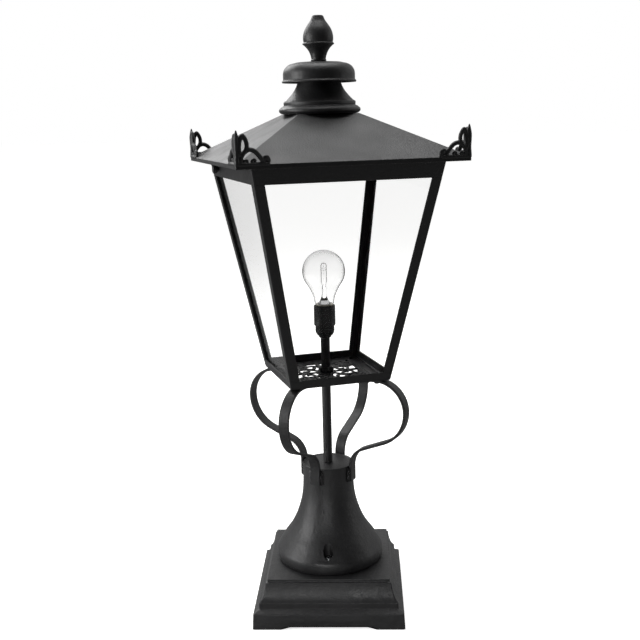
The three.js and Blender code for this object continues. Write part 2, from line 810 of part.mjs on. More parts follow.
add('finial', cut(turned([
  [0, CAP_TOP + GAP],
  [10.2, CAP_TOP + GAP],
  [10.5, 777.2],
  [9.8, 778.6],
  [10.4, 782],
  [12.2, 787],
  [15.4, 792.4],
  [19.4, 796.4],
  [21.2, 798.2],
  [20.9, 799.4],
  [19.7, 800.2],
  ...new THREE.SplineCurve(
    [[20.1, 804], [19.6, 811], [17.4, 817.6], [13.4, 823.6], [9.8, 828.4], [8, 832.4]]
      .map(([r, z]) => new THREE.Vector2(r, z)),
  ).getPoints(6).map((p) => [p.x, p.y]),
  [6.6, 834.8],
  [3.4, 835.1],
  [2.2, 834],
  [0, 834],
], 20), cylinder(ROD_R + GAP, CAP_TOP - 5, ROD_TOP + 2, 0, 0, 12)), 'casting', head);

add('tie_rod', cylinder(ROD_R, ROD_FOOT, ROD_TOP, 0, 0, 12), 'zinc', head);
const rodNutTop = ROOF_TOP - ROOF_SHEET - GAP;
add('tie_rod_nut', nut(7, ROD_R + GAP, rodNutTop - 5, rodNutTop), 'zinc', head);

// ---------------------------------------------------------------- roof hinge and thumbscrew
// Knuckles along the hinge axis: each from and to is measured along the head's Y.
function knuckle(from, to) {
  const barrel = cylinder(KNUCKLE_R, from, to);
  return barrel.rotateX(-QUARTER).translate(HINGE_X, 0, HINGE_Z);
}

const third = HINGE_W / 6;
const hingeBore = cylinder(PIN_R + GAP, -HINGE_W, HINGE_W);
hingeBore.rotateX(-QUARTER).translate(HINGE_X, 0, HINGE_Z);

// The leaf on the upper frame's right rail lies on its slope and carries the two outer knuckles.
function frameLeaf() {
  const foot = HINGE_Z - LEAF_DROP;
  const top = HINGE_Z - KNUCKLE_R - GAP;
  const leaf = plate(
    outline([
      [halfAt(foot) + GAP, foot],
      [halfAt(foot) + GAP + LEAF_T, foot],
      [halfAt(top) + GAP + LEAF_T, top],
      [halfAt(top) + GAP, top],
    ]),
    HINGE_W,
  );
  const arms = [[-HINGE_W / 2, -third], [third, HINGE_W / 2]].flatMap(([from, to]) => [
    block(halfAt(HINGE_Z) + GAP, HINGE_X, from, to, top - 2, HINGE_Z - 1),
    knuckle(from, to),
  ]);
  return cut(join(leaf, ...arms), hingeBore);
}

// The leaf under the soffit carries the middle knuckle and clears the outer ones.
function roofLeaf() {
  const top = ROOF_FOOT - GAP;
  const [from, to] = [-third + GAP, third - GAP];
  const start = HINGE_X + KNUCKLE_R + GAP;
  const leaf = block(start, EAVE_HALF - 5, -HINGE_W / 2, HINGE_W / 2, top - LEAF_T, top);
  const arm = block(HINGE_X, start + 1, from, to, top - LEAF_T, top);
  return cut(join(leaf, arm, knuckle(from, to)), hingeBore);
}

add('hinge_frame_leaf', frameLeaf(), 'coat', head);
add('hinge_roof_leaf', roofLeaf(), 'coat', head);
const pin = cylinder(PIN_R, -HINGE_W / 2, HINGE_W / 2, 0, 0, 12).rotateX(-QUARTER);
add('hinge_pin', pin.translate(HINGE_X, 0, HINGE_Z), 'zinc', head);

// The roof's catch is an angle under the soffit whose leg hangs inside the left rail.
const catchEdge = SOFFIT_HALF - CATCH_T;
const catchTop = ROOF_FOOT - GAP;
const catchSpan = [THUMB_Y - CATCH_W / 2, THUMB_Y + CATCH_W / 2];
add('roof_catch', join(
  block(-SOFFIT_HALF - 4.5, -catchEdge, ...catchSpan, catchTop - CATCH_T, catchTop),
  block(-SOFFIT_HALF, -catchEdge, ...catchSpan, THUMB_Z - 8, catchTop),
), 'coat', head);

// The thumbscrew's tip stops short of the roof's catch tab, so the roof is free to lift.
const thumbscrew = turned([
  [0, THUMB_TIP],
  [M4, THUMB_TIP],
  [M4, THUMB_SEAT],
  [THUMB_R * 0.7, THUMB_SEAT],
  [THUMB_R * 0.7, THUMB_SEAT + 2],
  [THUMB_R, THUMB_SEAT + 2.6],
  [THUMB_R, THUMB_SEAT + 7.4],
  [THUMB_R - 0.8, THUMB_SEAT + 8],
  [0, THUMB_SEAT + 8],
], 20);
const thumb = add('roof_thumbscrew', thumbscrew.rotateY(-QUARTER), 'coat', head);
thumb.position.set(0, THUMB_Y, THUMB_Z);

export default lamp;
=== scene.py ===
"""Pedestal street lantern: the finished look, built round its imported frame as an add-on layout."""

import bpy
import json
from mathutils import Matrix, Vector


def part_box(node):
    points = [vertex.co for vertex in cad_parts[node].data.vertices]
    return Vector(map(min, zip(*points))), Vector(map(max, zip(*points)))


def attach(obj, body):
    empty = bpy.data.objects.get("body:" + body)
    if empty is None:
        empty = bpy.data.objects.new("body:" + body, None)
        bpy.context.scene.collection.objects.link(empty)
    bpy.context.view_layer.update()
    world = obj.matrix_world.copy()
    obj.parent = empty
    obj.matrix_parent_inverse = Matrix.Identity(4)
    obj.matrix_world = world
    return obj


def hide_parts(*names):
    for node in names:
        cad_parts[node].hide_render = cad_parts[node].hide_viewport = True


bl_info = {
    "name": "Pedestal Street Lantern",
    "version": (1, 0, 0),
    "blender": (4, 5, 0),
    "location": "View3D > Sidebar > Lantern",
    "description": "Builds a glazed pedestal street lantern piece by piece",
    "category": "Add Mesh",
}

import json
import math

import bmesh
import bpy
import numpy as np
from bpy.props import FloatProperty, FloatVectorProperty, PointerProperty
from mathutils import Matrix

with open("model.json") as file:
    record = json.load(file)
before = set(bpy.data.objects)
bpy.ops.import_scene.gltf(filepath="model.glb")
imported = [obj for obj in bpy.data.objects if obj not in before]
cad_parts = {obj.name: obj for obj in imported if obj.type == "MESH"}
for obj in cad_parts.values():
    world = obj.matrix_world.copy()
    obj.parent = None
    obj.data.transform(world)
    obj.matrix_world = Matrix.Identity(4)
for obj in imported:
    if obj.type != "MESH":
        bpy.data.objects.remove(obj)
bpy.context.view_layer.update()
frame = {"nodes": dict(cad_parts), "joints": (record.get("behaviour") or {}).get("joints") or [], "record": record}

MM = 0.001
TURN = 2 * math.pi
RECORD = frame["record"]
BODY_OF = {node: body for body, nodes in RECORD["behaviour"]["bodies"].items() for node in nodes}
CORNERS = ("front_right", "back_right", "back_left", "front_left")
SIDES = ("front", "right", "back", "left")

# The head is turned about +Z; the roof's hinge axis lies along the head's own +Y.
HINGE = next(joint for joint in frame["joints"] if joint["name"] == "roof_open")
HEAD = math.atan2(-HINGE["axis"][0], HINGE["axis"][1])


# ------------------------------------------------------------------ measures taken from the frame
def span(node):
    """Lowest and highest corner of a CAD node, in mm."""
    low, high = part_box(node)
    return np.array(low) / MM, np.array(high) / MM


def half_of(node):
    """Half the side of a square ring that is turned with the head, in mm."""
    return span(node)[1][0] / (math.cos(HEAD) + math.sin(HEAD))


RAIL_LOW, RAIL_HIGH = (corner[2] for corner in span("bottom_frame"))
BAND_LOW, BAND_HIGH = (corner[2] for corner in span("top_frame"))
TAPER = (half_of("top_frame") - half_of("bottom_frame")) / (BAND_HIGH - RAIL_HIGH)


def half_at(z):
    """Half the lantern's width over the outer faces of its frame at a height, in mm."""
    return half_of("top_frame") + TAPER * (z - BAND_HIGH)


# ------------------------------------------------------------------ sizes and colours
def linear(code):
    """An sRGB hex colour as linear red, green and blue."""
    srgb = np.array([int(code[i : i + 2], 16) for i in (1, 3, 5)]) / 255
    low, high = srgb / 12.92, ((srgb + 0.055) / 1.055) ** 2.4
    return tuple(np.where(srgb <= 0.04045, low, high).tolist())


def length(name, description, default):
    """A length property whose default is given in mm."""
    return FloatProperty(
        name=name, description=description, default=default * MM, unit="LENGTH", precision=4
    )


def colour(name, description, code):
    return FloatVectorProperty(
        name=name, description=description, default=linear(code), subtype="COLOR", min=0, max=1
    )


class LanternSizes(bpy.types.PropertyGroup):
    """Sizes that the frame leaves to the finished pieces"""

    plinth_corner: length("Plinth corner", "Radius of the plinth's upright edges", 1.8)
    block_height: length("Block height", "Height of the plinth's lower block", 22.5)
    block_draft: length("Block draft", "How far the block leans in by its top", 1.2)
    plinth_wall: length("Plinth wall", "Wall of the hollow plinth casting", 7)
    foot_length: length("Foot length", "Each corner foot, along the side from the corner", 40.5)
    relief_height: length("Relief height", "Height of the set-back panel between two feet", 12)
    relief_depth: length("Relief depth", "How far the panel stands back", 4)
    column_way: length("Column way", "Radius of the opening under the column", 44)
    strap_width: length("Strap width", "Width of the flat bar", 15)
    strap_thickness: length("Strap thickness", "Thickness of the flat bar", 4)
    strap_reach: length("Strap reach", "Radius of the scroll's widest point", 124)
    weld_size: length("Weld size", "Leg of the fillet welds on the neck", 2.7)
    sheet: length("Frame sheet", "Wall of the lantern's angle section", 2.5)
    ledge: length("Lower ledge", "Inward leg of the lower rail", 18)
    top_ledge: length("Upper ledge", "Inward leg of the upper rail", 14)
    post_leg: length("Post leg", "Leg of the corner posts' angle section", 14)
    tube_nut: length("Tube nut", "Across the corners of the tube's nuts", 22)
    pane: length("Pane thickness", "Float glass", 3)
    pane_margin: length("Pane margin", "From the frame's outer corner to the pane's edge", 7)
    roof_sheet: length("Roof sheet", "Thickness of the folded roof", 2)
    ornament_bar: length("Ornament bar", "Thickness of the cast scrollwork", 5.9)
    globe_wall: length("Globe wall", "Thickness of the lamp's glass", 0.8)


class LanternColours(bpy.types.PropertyGroup):
    """Base colours of the finishes"""

    coat: colour("Coat", "Black powder coat on sheet and bar", "#1A1A1B")
    casting: colour("Casting", "Black powder coat on castings", "#1D1D1E")
    bakelite: colour("Bakelite", "Phenolic lampholder", "#0B0B0C")
    zinc: colour("Zinc", "Zinc-plated screws", "#B9BBBD")
    nickel: colour("Nickel", "Nickel-plated lamp cap", "#CFCABD")
    ceramic: colour("Ceramic", "Steatite insulators", "#E3DED2")
    rubber: colour("Sheath", "Lead sheath", "#151515")
    tungsten: colour("Filament", "Tungsten coil", "#4A4743")
    floor: colour("Floor", "Studio floor", "#F4F4F2")


class LanternStage(bpy.types.PropertyGroup):
    """Camera and light"""

    camera_x: FloatProperty(name="Camera X", description="Across", default=0.0557, unit="LENGTH")
    camera_y: FloatProperty(name="Camera Y", description="Depth", default=-1.3678, unit="LENGTH")
    camera_z: FloatProperty(name="Camera Z", description="Height", default=0.7058, unit="LENGTH")
    camera_pan: FloatProperty(
        name="Pan", description="Turn to the left", default=math.radians(2.61), subtype="ANGLE"
    )
    camera_tilt: FloatProperty(
        name="Tilt", description="Downward tilt", default=math.radians(11.77), subtype="ANGLE"
    )
    camera_roll: FloatProperty(
        name="Roll", description="Roll about the view axis", default=math.radians(-1.4), subtype="ANGLE"
    )
    camera_lens: FloatProperty(
        name="Lens", description="Focal length on a 36 mm sensor, mm", default=55.5, min=10, max=300
    )


# ------------------------------------------------------------------ surfaces
def quads(rows, columns, close_rows=False, close_columns=True):
    """Corner indices of every quad on a rows x columns grid of points, facing outwards where the
    columns run anticlockwise seen from the end that the rows run towards."""
    i = np.arange(rows if close_rows else rows - 1)[:, None]
    j = np.arange(columns if close_columns else columns - 1)[None, :]
    i_next, j_next = (i + 1) % rows, (j + 1) % columns
    corners = (i * columns + j, i * columns + j_next, i_next * columns + j_next, i_next * columns + j)
    return np.stack(corners, -1).reshape(-1, 4)


def skin(rings, closed=False, capped=False):
    """A surface through a stack of rings, points[v, u]; closed joins the last ring to the first,
    and capped shuts both ends with a flat face."""
    rows, columns = rings.shape[:2]
    faces = [quads(rows, columns, closed)]
    if capped:
        ring = np.arange(columns)[None]
        faces += [ring[:, ::-1], ring + (rows - 1) * columns]
    return rings.reshape(-1, 3), faces


def eased(points, ease, steps=3, closed=True):
    """An outline with softened corners: each corner P becomes the curve
    (1-s)^2 A + 2 s (1-s) P + s^2 B, where A and B lie `ease` before and after it, or less than
    half way along a short side."""
    p = np.asarray(points, float)
    s = np.linspace(0, 1, steps + 1)[None, :, None]

    def towards(other):
        step = other - p
        distance = np.maximum(np.linalg.norm(step, axis=1), 1e-9)
        reach = np.minimum(np.broadcast_to(ease, distance.shape), 0.48 * distance)
        return (p + step * (reach / distance)[:, None])[:, None]

    a, b, corner = towards(np.roll(p, 1, 0)), towards(np.roll(p, -1, 0)), p[:, None]
    curves = (1 - s) ** 2 * a + 2 * s * (1 - s) * corner + s**2 * b
    if closed:
        return curves.reshape(-1, p.shape[1])
    return np.concatenate([p[:1], curves[1:-1].reshape(-1, p.shape[1]), p[-1:]])


def spline(points, count, closed=False):
    """`count` points on the Catmull-Rom curve through `points`: between P1 and P2 it is
    P1 + s (P2-P0)/2 + s^2 (2P0-5P1+4P2-P3)/2 + s^3 (3P1-P0-3P2+P3)/2."""
    p = np.asarray(points, float)
    spans = len(p) if closed else len(p) - 1
    t = np.linspace(0, spans, count, endpoint=not closed)
    k = np.minimum(t.astype(int), spans - 1)
    s = (t - k)[:, None]
    pick = (lambda i: p[i % len(p)]) if closed else (lambda i: p[np.clip(i, 0, len(p) - 1)])
    p0, p1, p2, p3 = pick(k - 1), pick(k), pick(k + 1), pick(k + 2)
    linear_part = p1 + s * (p2 - p0) / 2
    curved_part = s**2 * (2 * p0 - 5 * p1 + 4 * p2 - p3) / 2 + s**3 * (3 * p1 - p0 - 3 * p2 + p3) / 2
    return linear_part + curved_part


def arc(x, y, a, b, start, end, steps):
    """Points on the ellipse (x + a cos t, y + b sin t), t between two angles in degrees."""
    t = np.radians(np.linspace(start, end, steps + 1))
    return np.stack([x + a * np.cos(t), y + b * np.sin(t)], -1)


def revolve(profile, segments=96, flats=None, closed=False):
    """A turned surface: P(u, v) = (r cos u, r sin u, z(v)). r is the profile's radius, or, where
    flats(v) is given, the smaller of it and the radius of a hexagon that far from its flats."""
    radius, z = np.asarray(profile, float).T
    u = np.linspace(0, TURN, segments, endpoint=False)[None]
    r = np.broadcast_to(radius[:, None], (len(radius), segments))
    if flats is not None:
        hexagon = 1 / np.cos((u + TURN / 12) % (TURN / 6) - TURN / 12)
        r = np.minimum(r, np.asarray(flats, float)[:, None] * hexagon)
    rings = np.stack([r * np.cos(u), r * np.sin(u), np.broadcast_to(z[:, None], r.shape)], -1)
    return skin(rings, closed)


def around_square(profile, corner, along=None, inset=None, closed=False, steps=6):
    """A moulding carried round a square plan: where the profile has half side h and height z, the
    plan is the square rounded to the radius corner(v), or to a circle where that reaches h.
    Extra points on each straight side lie at the fractions along(v, u) of its half length, set
    back by inset(v, u)."""
    h, z = np.asarray(profile, float).T
    c = np.minimum(np.broadcast_to(corner, h.shape), h)
    along = np.zeros((len(h), 0)) if along is None else along
    inset = np.zeros_like(along) if inset is None else inset
    columns = []
    for k in range(4):
        a = k * TURN / 4 + np.linspace(0, TURN / 4, steps + 1)
        sign = np.sign([math.cos(a[0] + 0.1), math.sin(a[0] + 0.1)])
        bend = np.stack([np.cos(a), np.sin(a)], -1)[None] * c[:, None, None]
        columns.append((h - c)[:, None, None] * sign + bend)
        normal = np.array([math.cos(a[-1]), math.sin(a[-1])])
        travel = np.array([-normal[1], normal[0]])
        out = (h[:, None] - inset)[..., None] * normal
        columns.append(out + (along * (h - c)[:, None])[..., None] * travel)
    plan = np.concatenate(columns, 1)
    height = np.broadcast_to(z[:, None, None], (*plan.shape[:2], 1))
    return skin(np.concatenate([plan, height], -1), closed)


def sweep(path, section, up, scale=1.0, closed=False):
    """A section carried along a path: P(u, v) = path(v) + k(v) (x(u) side(v) + y(u) lift(v)),
    where side = up x along and lift = along x side."""
    path = np.asarray(path, float)
    ahead, behind = np.roll(path, -1, 0), np.roll(path, 1, 0)
    if not closed:
        ahead[-1], behind[0] = path[-1], path[0]
    along = ahead - behind
    along /= np.linalg.norm(along, axis=1)[:, None]
    side = np.cross(np.broadcast_to(up, path.shape), along)
    side /= np.linalg.norm(side, axis=1)[:, None]
    lift = np.cross(along, side)
    k = np.broadcast_to(scale, len(path))[:, None, None]
    x, y = np.asarray(section, float).T[:, None, :, None]
    return skin(path[:, None] + k * (x * side[:, None] + y * lift[:, None]), closed, not closed)


def oval(width, height, count=12):
    """An ellipse as a section, anticlockwise."""
    return arc(0, 0, width / 2, height / 2, 0, 360, count)[:-1]


def ball(centre, radius, count=16):
    """A sphere: P = centre + radius (cos u sin v, sin u sin v, -cos v)."""
    profile = arc(0, 0, radius, radius, -90, 90, count // 2)
    points, faces = revolve(profile, count)
    return points + np.asarray(centre, float), faces


def at(x, z):
    """Points of a flat outline as points in the upright plane y = 0."""
    return np.stack([x, np.zeros_like(x), z], -1)


def moved(shell, matrix):
    """A shell turned and shifted by a 4 x 4 matrix in mm."""
    points, faces = shell
    m = np.array(matrix)
    return points @ m[:3, :3].T + m[:3, 3], faces


def about_z(angle):
    return Matrix.Rotation(angle, 4, "Z")


# ------------------------------------------------------------------ pieces
def show_edges(mesh, sharp):
    """Smooth shading, with edges left crisp where faces meet at more than `sharp` degrees."""
    mesh.polygons.foreach_set("use_smooth", np.ones(len(mesh.polygons), bool))
    mesh.set_sharp_from_angle(angle=math.radians(sharp))


def piece(name, shells, material, sharp=32):
    """One object from shells in mm. Points that meet are merged, which closes seams and poles."""
    counts = np.cumsum([0] + [len(points) for points, _ in shells])
    faces = [
        face
        for start, (_, groups) in zip(counts, shells)
        for group in groups
        for face in (np.asarray(group) + start).tolist()
    ]
    mesh = bpy.data.meshes.new(name)
    mesh.from_pydata((np.concatenate([points for points, _ in shells]) * MM).tolist(), [], faces)
    tidy = bmesh.new()
    tidy.from_mesh(mesh)
    bmesh.ops.remove_doubles(tidy, verts=tidy.verts, dist=2e-6)
    tidy.to_mesh(mesh)
    tidy.free()
    show_edges(mesh, sharp)
    mesh.materials.append(bpy.data.materials[material])
    made = bpy.data.objects.new(name, mesh)
    bpy.context.scene.collection.objects.link(made)
    return made


def place(made, slot, *nodes, body=None):
    """Rides a piece on its body and hides the CAD nodes that it stands for; the slot argument is not used."""
    flat_faces = made.modifiers.new("flat_faces", "WEIGHTED_NORMAL")
    flat_faces.keep_sharp = True
    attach(made, body or BODY_OF[nodes[0]])
    if nodes:
        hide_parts(*nodes)
    return made


def settle(made, sharp=32):
    """Puts what a piece's modifiers make into its mesh."""
    shown = made.evaluated_get(bpy.context.evaluated_depsgraph_get())
    mesh = bpy.data.meshes.new_from_object(shown)
    made.modifiers.clear()
    made.data = mesh
    show_edges(mesh, sharp)
    return made


def carve(made, tools, sharp=32):
    """Cuts closed tools out of a piece and removes them."""
    for tool in tools:
        cut = made.modifiers.new("cut", "BOOLEAN")
        cut.operation = "DIFFERENCE"
        cut.solver = "EXACT"
        cut.object = tool
    settle(made, sharp)
    for tool in tools:
        bpy.data.objects.remove(tool)
    return made


def fuse(made, grain, rounds=3):
    """Runs overlapping shells together as cast metal does: one skin on a grid of `grain` mm,
    then a few rounds of smoothing."""
    remesh = made.modifiers.new("fuse", "REMESH")
    remesh.mode = "VOXEL"
    remesh.voxel_size = grain * MM
    smooth = made.modifiers.new("soften", "SMOOTH")
    smooth.factor = 0.5
    smooth.iterations = rounds
    return settle(made, 60)


def eased_copy(node, name, material, slot, edge):
    """A flat CAD part with its edges broken: a merged copy of its mesh under a bevel."""
    mesh = frame["nodes"][node].data.copy()
    mesh.name = name
    tidy = bmesh.new()
    tidy.from_mesh(mesh)
    bmesh.ops.remove_doubles(tidy, verts=tidy.verts, dist=2e-6)
    bmesh.ops.dissolve_limit(tidy, angle_limit=math.radians(1), verts=tidy.verts, edges=tidy.edges)
    tidy.to_mesh(mesh)
    tidy.free()
    mesh.materials.clear()
    mesh.materials.append(bpy.data.materials[material])
    made = bpy.data.objects.new(name, mesh)
    bpy.context.scene.collection.objects.link(made)
    bevel = made.modifiers.new("edge", "BEVEL")
    bevel.width = edge * MM
    bevel.segments = 2
    bevel.limit_method = "ANGLE"
    bevel.angle_limit = math.radians(30)
    settle(made, 40)
    return place(made, slot, node)


# ------------------------------------------------------------------ finishes
def node(tree, kind, sockets=None, **settings):
    """Adds a shader node with its settings; each socket takes a value or an output to link."""
    made = tree.nodes.new(kind)
    for key, value in settings.items():
        setattr(made, key, value)
    for key, value in (sockets or {}).items():
        if isinstance(value, bpy.types.NodeSocket):
            tree.links.new(value, made.inputs[key])
        else:
            made.inputs[key].default_value = value
    return made


def blank(name):
    """A new material with only its output, and that output's surface socket."""
    material = bpy.data.materials.new(name)
    material.use_nodes = True
    material.node_tree.nodes.clear()
    return material.node_tree, node(material.node_tree, "ShaderNodeOutputMaterial")


def seen_straight(tree):
    """1 for what is looked at directly or through glass, 0 for what only lights a surface."""
    ray = node(tree, "ShaderNodeLightPath")
    looked = node(tree, "ShaderNodeMath", {
        0: ray.outputs["Is Camera Ray"], 1: ray.outputs["Is Transmission Ray"],
    }, operation="MAXIMUM")
    bounces = node(tree, "ShaderNodeMath", {
        0: ray.outputs["Diffuse Depth"], 1: ray.outputs["Glossy Depth"],
    }, operation="ADD")
    direct = node(tree, "ShaderNodeMath", {0: bounces.outputs["Value"], 1: 0.5}, operation="LESS_THAN")
    both = node(tree, "ShaderNodeMath", {
        0: looked.outputs["Value"], 1: direct.outputs["Value"],
    }, operation="MULTIPLY")
    return both.outputs["Value"]


def per_metre(millimetres):
    """Noise scale whose features are about that size."""
    return 1 / (millimetres * MM)


def powder_coat(name, base, grit, lift, undulation=None):
    """Black polyester powder coat, sprayed and baked: a fine even grit that spreads highlights
    into a soft grey sheen, with a slightly uneven gloss. On a sand casting the metal's own soft
    undulation shows through it."""
    tree, output = blank(name)
    place_on = node(tree, "ShaderNodeTexCoord").outputs["Object"]
    # Real grit is near 0.3 mm; it is drawn as coarse as it needs to be to show.
    fine = node(tree, "ShaderNodeTexNoise", {
        "Vector": place_on, "Scale": per_metre(grit), "Detail": 3.0, "Roughness": 0.6,
    })
    patch = node(tree, "ShaderNodeTexNoise", {
        "Vector": place_on, "Scale": per_metre(38), "Detail": 2.0,
    })
    tone = node(tree, "ShaderNodeValToRGB", {"Fac": patch.outputs["Fac"]})
    tone.color_ramp.elements[0].position = 0.35
    tone.color_ramp.elements[1].position = 0.68
    tone.color_ramp.elements[0].color = (*[c * 0.82 for c in base], 1)
    tone.color_ramp.elements[1].color = (*[c * 1.2 for c in base], 1)
    speck = node(tree, "ShaderNodeMapRange", {
        "Value": fine.outputs["Fac"], "From Min": 0.3, "From Max": 0.7, "To Min": 0.8, "To Max": 1.25,
    })
    grain = node(tree, "ShaderNodeMix", {
        6: tone.outputs["Color"], 7: speck.outputs["Result"], "Factor": 1.0,
    }, data_type="RGBA", blend_type="MULTIPLY")
    gloss = node(tree, "ShaderNodeMapRange", {
        "Value": patch.outputs["Fac"], "From Min": 0.3, "From Max": 0.7, "To Min": 0.4, "To Max": 0.52,
    })
    bump = node(tree, "ShaderNodeBump", {
        "Height": fine.outputs["Fac"], "Strength": 0.85, "Distance": lift * MM,
    })
    if undulation:
        sand = node(tree, "ShaderNodeTexNoise", {
            "Vector": place_on, "Scale": per_metre(undulation), "Detail": 2.0,
        })
        cast = node(tree, "ShaderNodeBump", {
            "Height": sand.outputs["Fac"], "Strength": 0.35, "Distance": 5 * lift * MM,
        })
        tree.links.new(cast.outputs["Normal"], bump.inputs["Normal"])
    shader = node(tree, "ShaderNodeBsdfPrincipled", {
        "Base Color": grain.outputs[2], "Roughness": gloss.outputs["Result"],
        "Normal": bump.outputs["Normal"], "IOR": 1.5, "Metallic": 0.0,
    })
    tree.links.new(shader.outputs["BSDF"], output.inputs["Surface"])


def clear_glass(name, tint, wave, lift, ior):
    """Clear soda-lime glass: smooth, with a barely uneven surface that bends reflections."""
    tree, output = blank(name)
    place_on = node(tree, "ShaderNodeTexCoord").outputs["Object"]
    ripple = node(tree, "ShaderNodeTexNoise", {
        "Vector": place_on, "Scale": per_metre(wave), "Detail": 1.0,
    })
    bump = node(tree, "ShaderNodeBump", {
        "Height": ripple.outputs["Fac"], "Strength": 0.1, "Distance": lift * MM,
    })
    shader = node(tree, "ShaderNodeBsdfPrincipled", {
        "Base Color": (*tint, 1), "Roughness": 0.0, "IOR": ior, "Transmission Weight": 1.0,
        "Normal": bump.outputs["Normal"],
    })
    tree.links.new(shader.outputs["BSDF"], output.inputs["Surface"])


def plated(name, base, rough, brush, scratch=None):
    """Bright electroplate over turned or rolled metal: metallic, with fine lines left by the
    tool that break the highlight, and a faint bloom."""
    tree, output = blank(name)
    place_on = node(tree, "ShaderNodeTexCoord").outputs["Object"]
    stretched = node(tree, "ShaderNodeMapping", {"Vector": place_on, "Scale": scratch or (1, 1, 6)})
    lines = node(tree, "ShaderNodeTexNoise", {
        "Vector": stretched.outputs["Vector"], "Scale": per_metre(brush), "Detail": 4.0,
    })
    bloom = node(tree, "ShaderNodeMapRange", {
        "Value": lines.outputs["Fac"], "To Min": rough * 0.7, "To Max": rough * 1.4,
    })
    bump = node(tree, "ShaderNodeBump", {
        "Height": lines.outputs["Fac"], "Strength": 0.3, "Distance": 0.05 * MM,
    })
    shader = node(tree, "ShaderNodeBsdfPrincipled", {
        "Base Color": (*base, 1), "Metallic": 1.0, "Roughness": bloom.outputs["Result"],
        "Normal": bump.outputs["Normal"],
    })
    tree.links.new(shader.outputs["BSDF"], output.inputs["Surface"])


def moulded(name, base, rough, coat, grain, lift):
    """A moulded or pressed part with one even colour: a mottled gloss over a faint flow
    texture, under a clear skin where it comes polished from the tool."""
    tree, output = blank(name)
    place_on = node(tree, "ShaderNodeTexCoord").outputs["Object"]
    flow = node(tree, "ShaderNodeTexNoise", {
        "Vector": place_on, "Scale": per_metre(grain), "Detail": 3.0,
    })
    mottle = node(tree, "ShaderNodeMapRange", {
        "Value": flow.outputs["Fac"], "To Min": rough * 0.75, "To Max": rough * 1.3,
    })
    bump = node(tree, "ShaderNodeBump", {
        "Height": flow.outputs["Fac"], "Strength": 0.25, "Distance": lift * MM,
    })
    shader = node(tree, "ShaderNodeBsdfPrincipled", {
        "Base Color": (*base, 1), "Roughness": mottle.outputs["Result"], "IOR": 1.55,
        "Normal": bump.outputs["Normal"], "Coat Weight": coat, "Coat Roughness": 0.04,
    })
    tree.links.new(shader.outputs["BSDF"], output.inputs["Surface"])


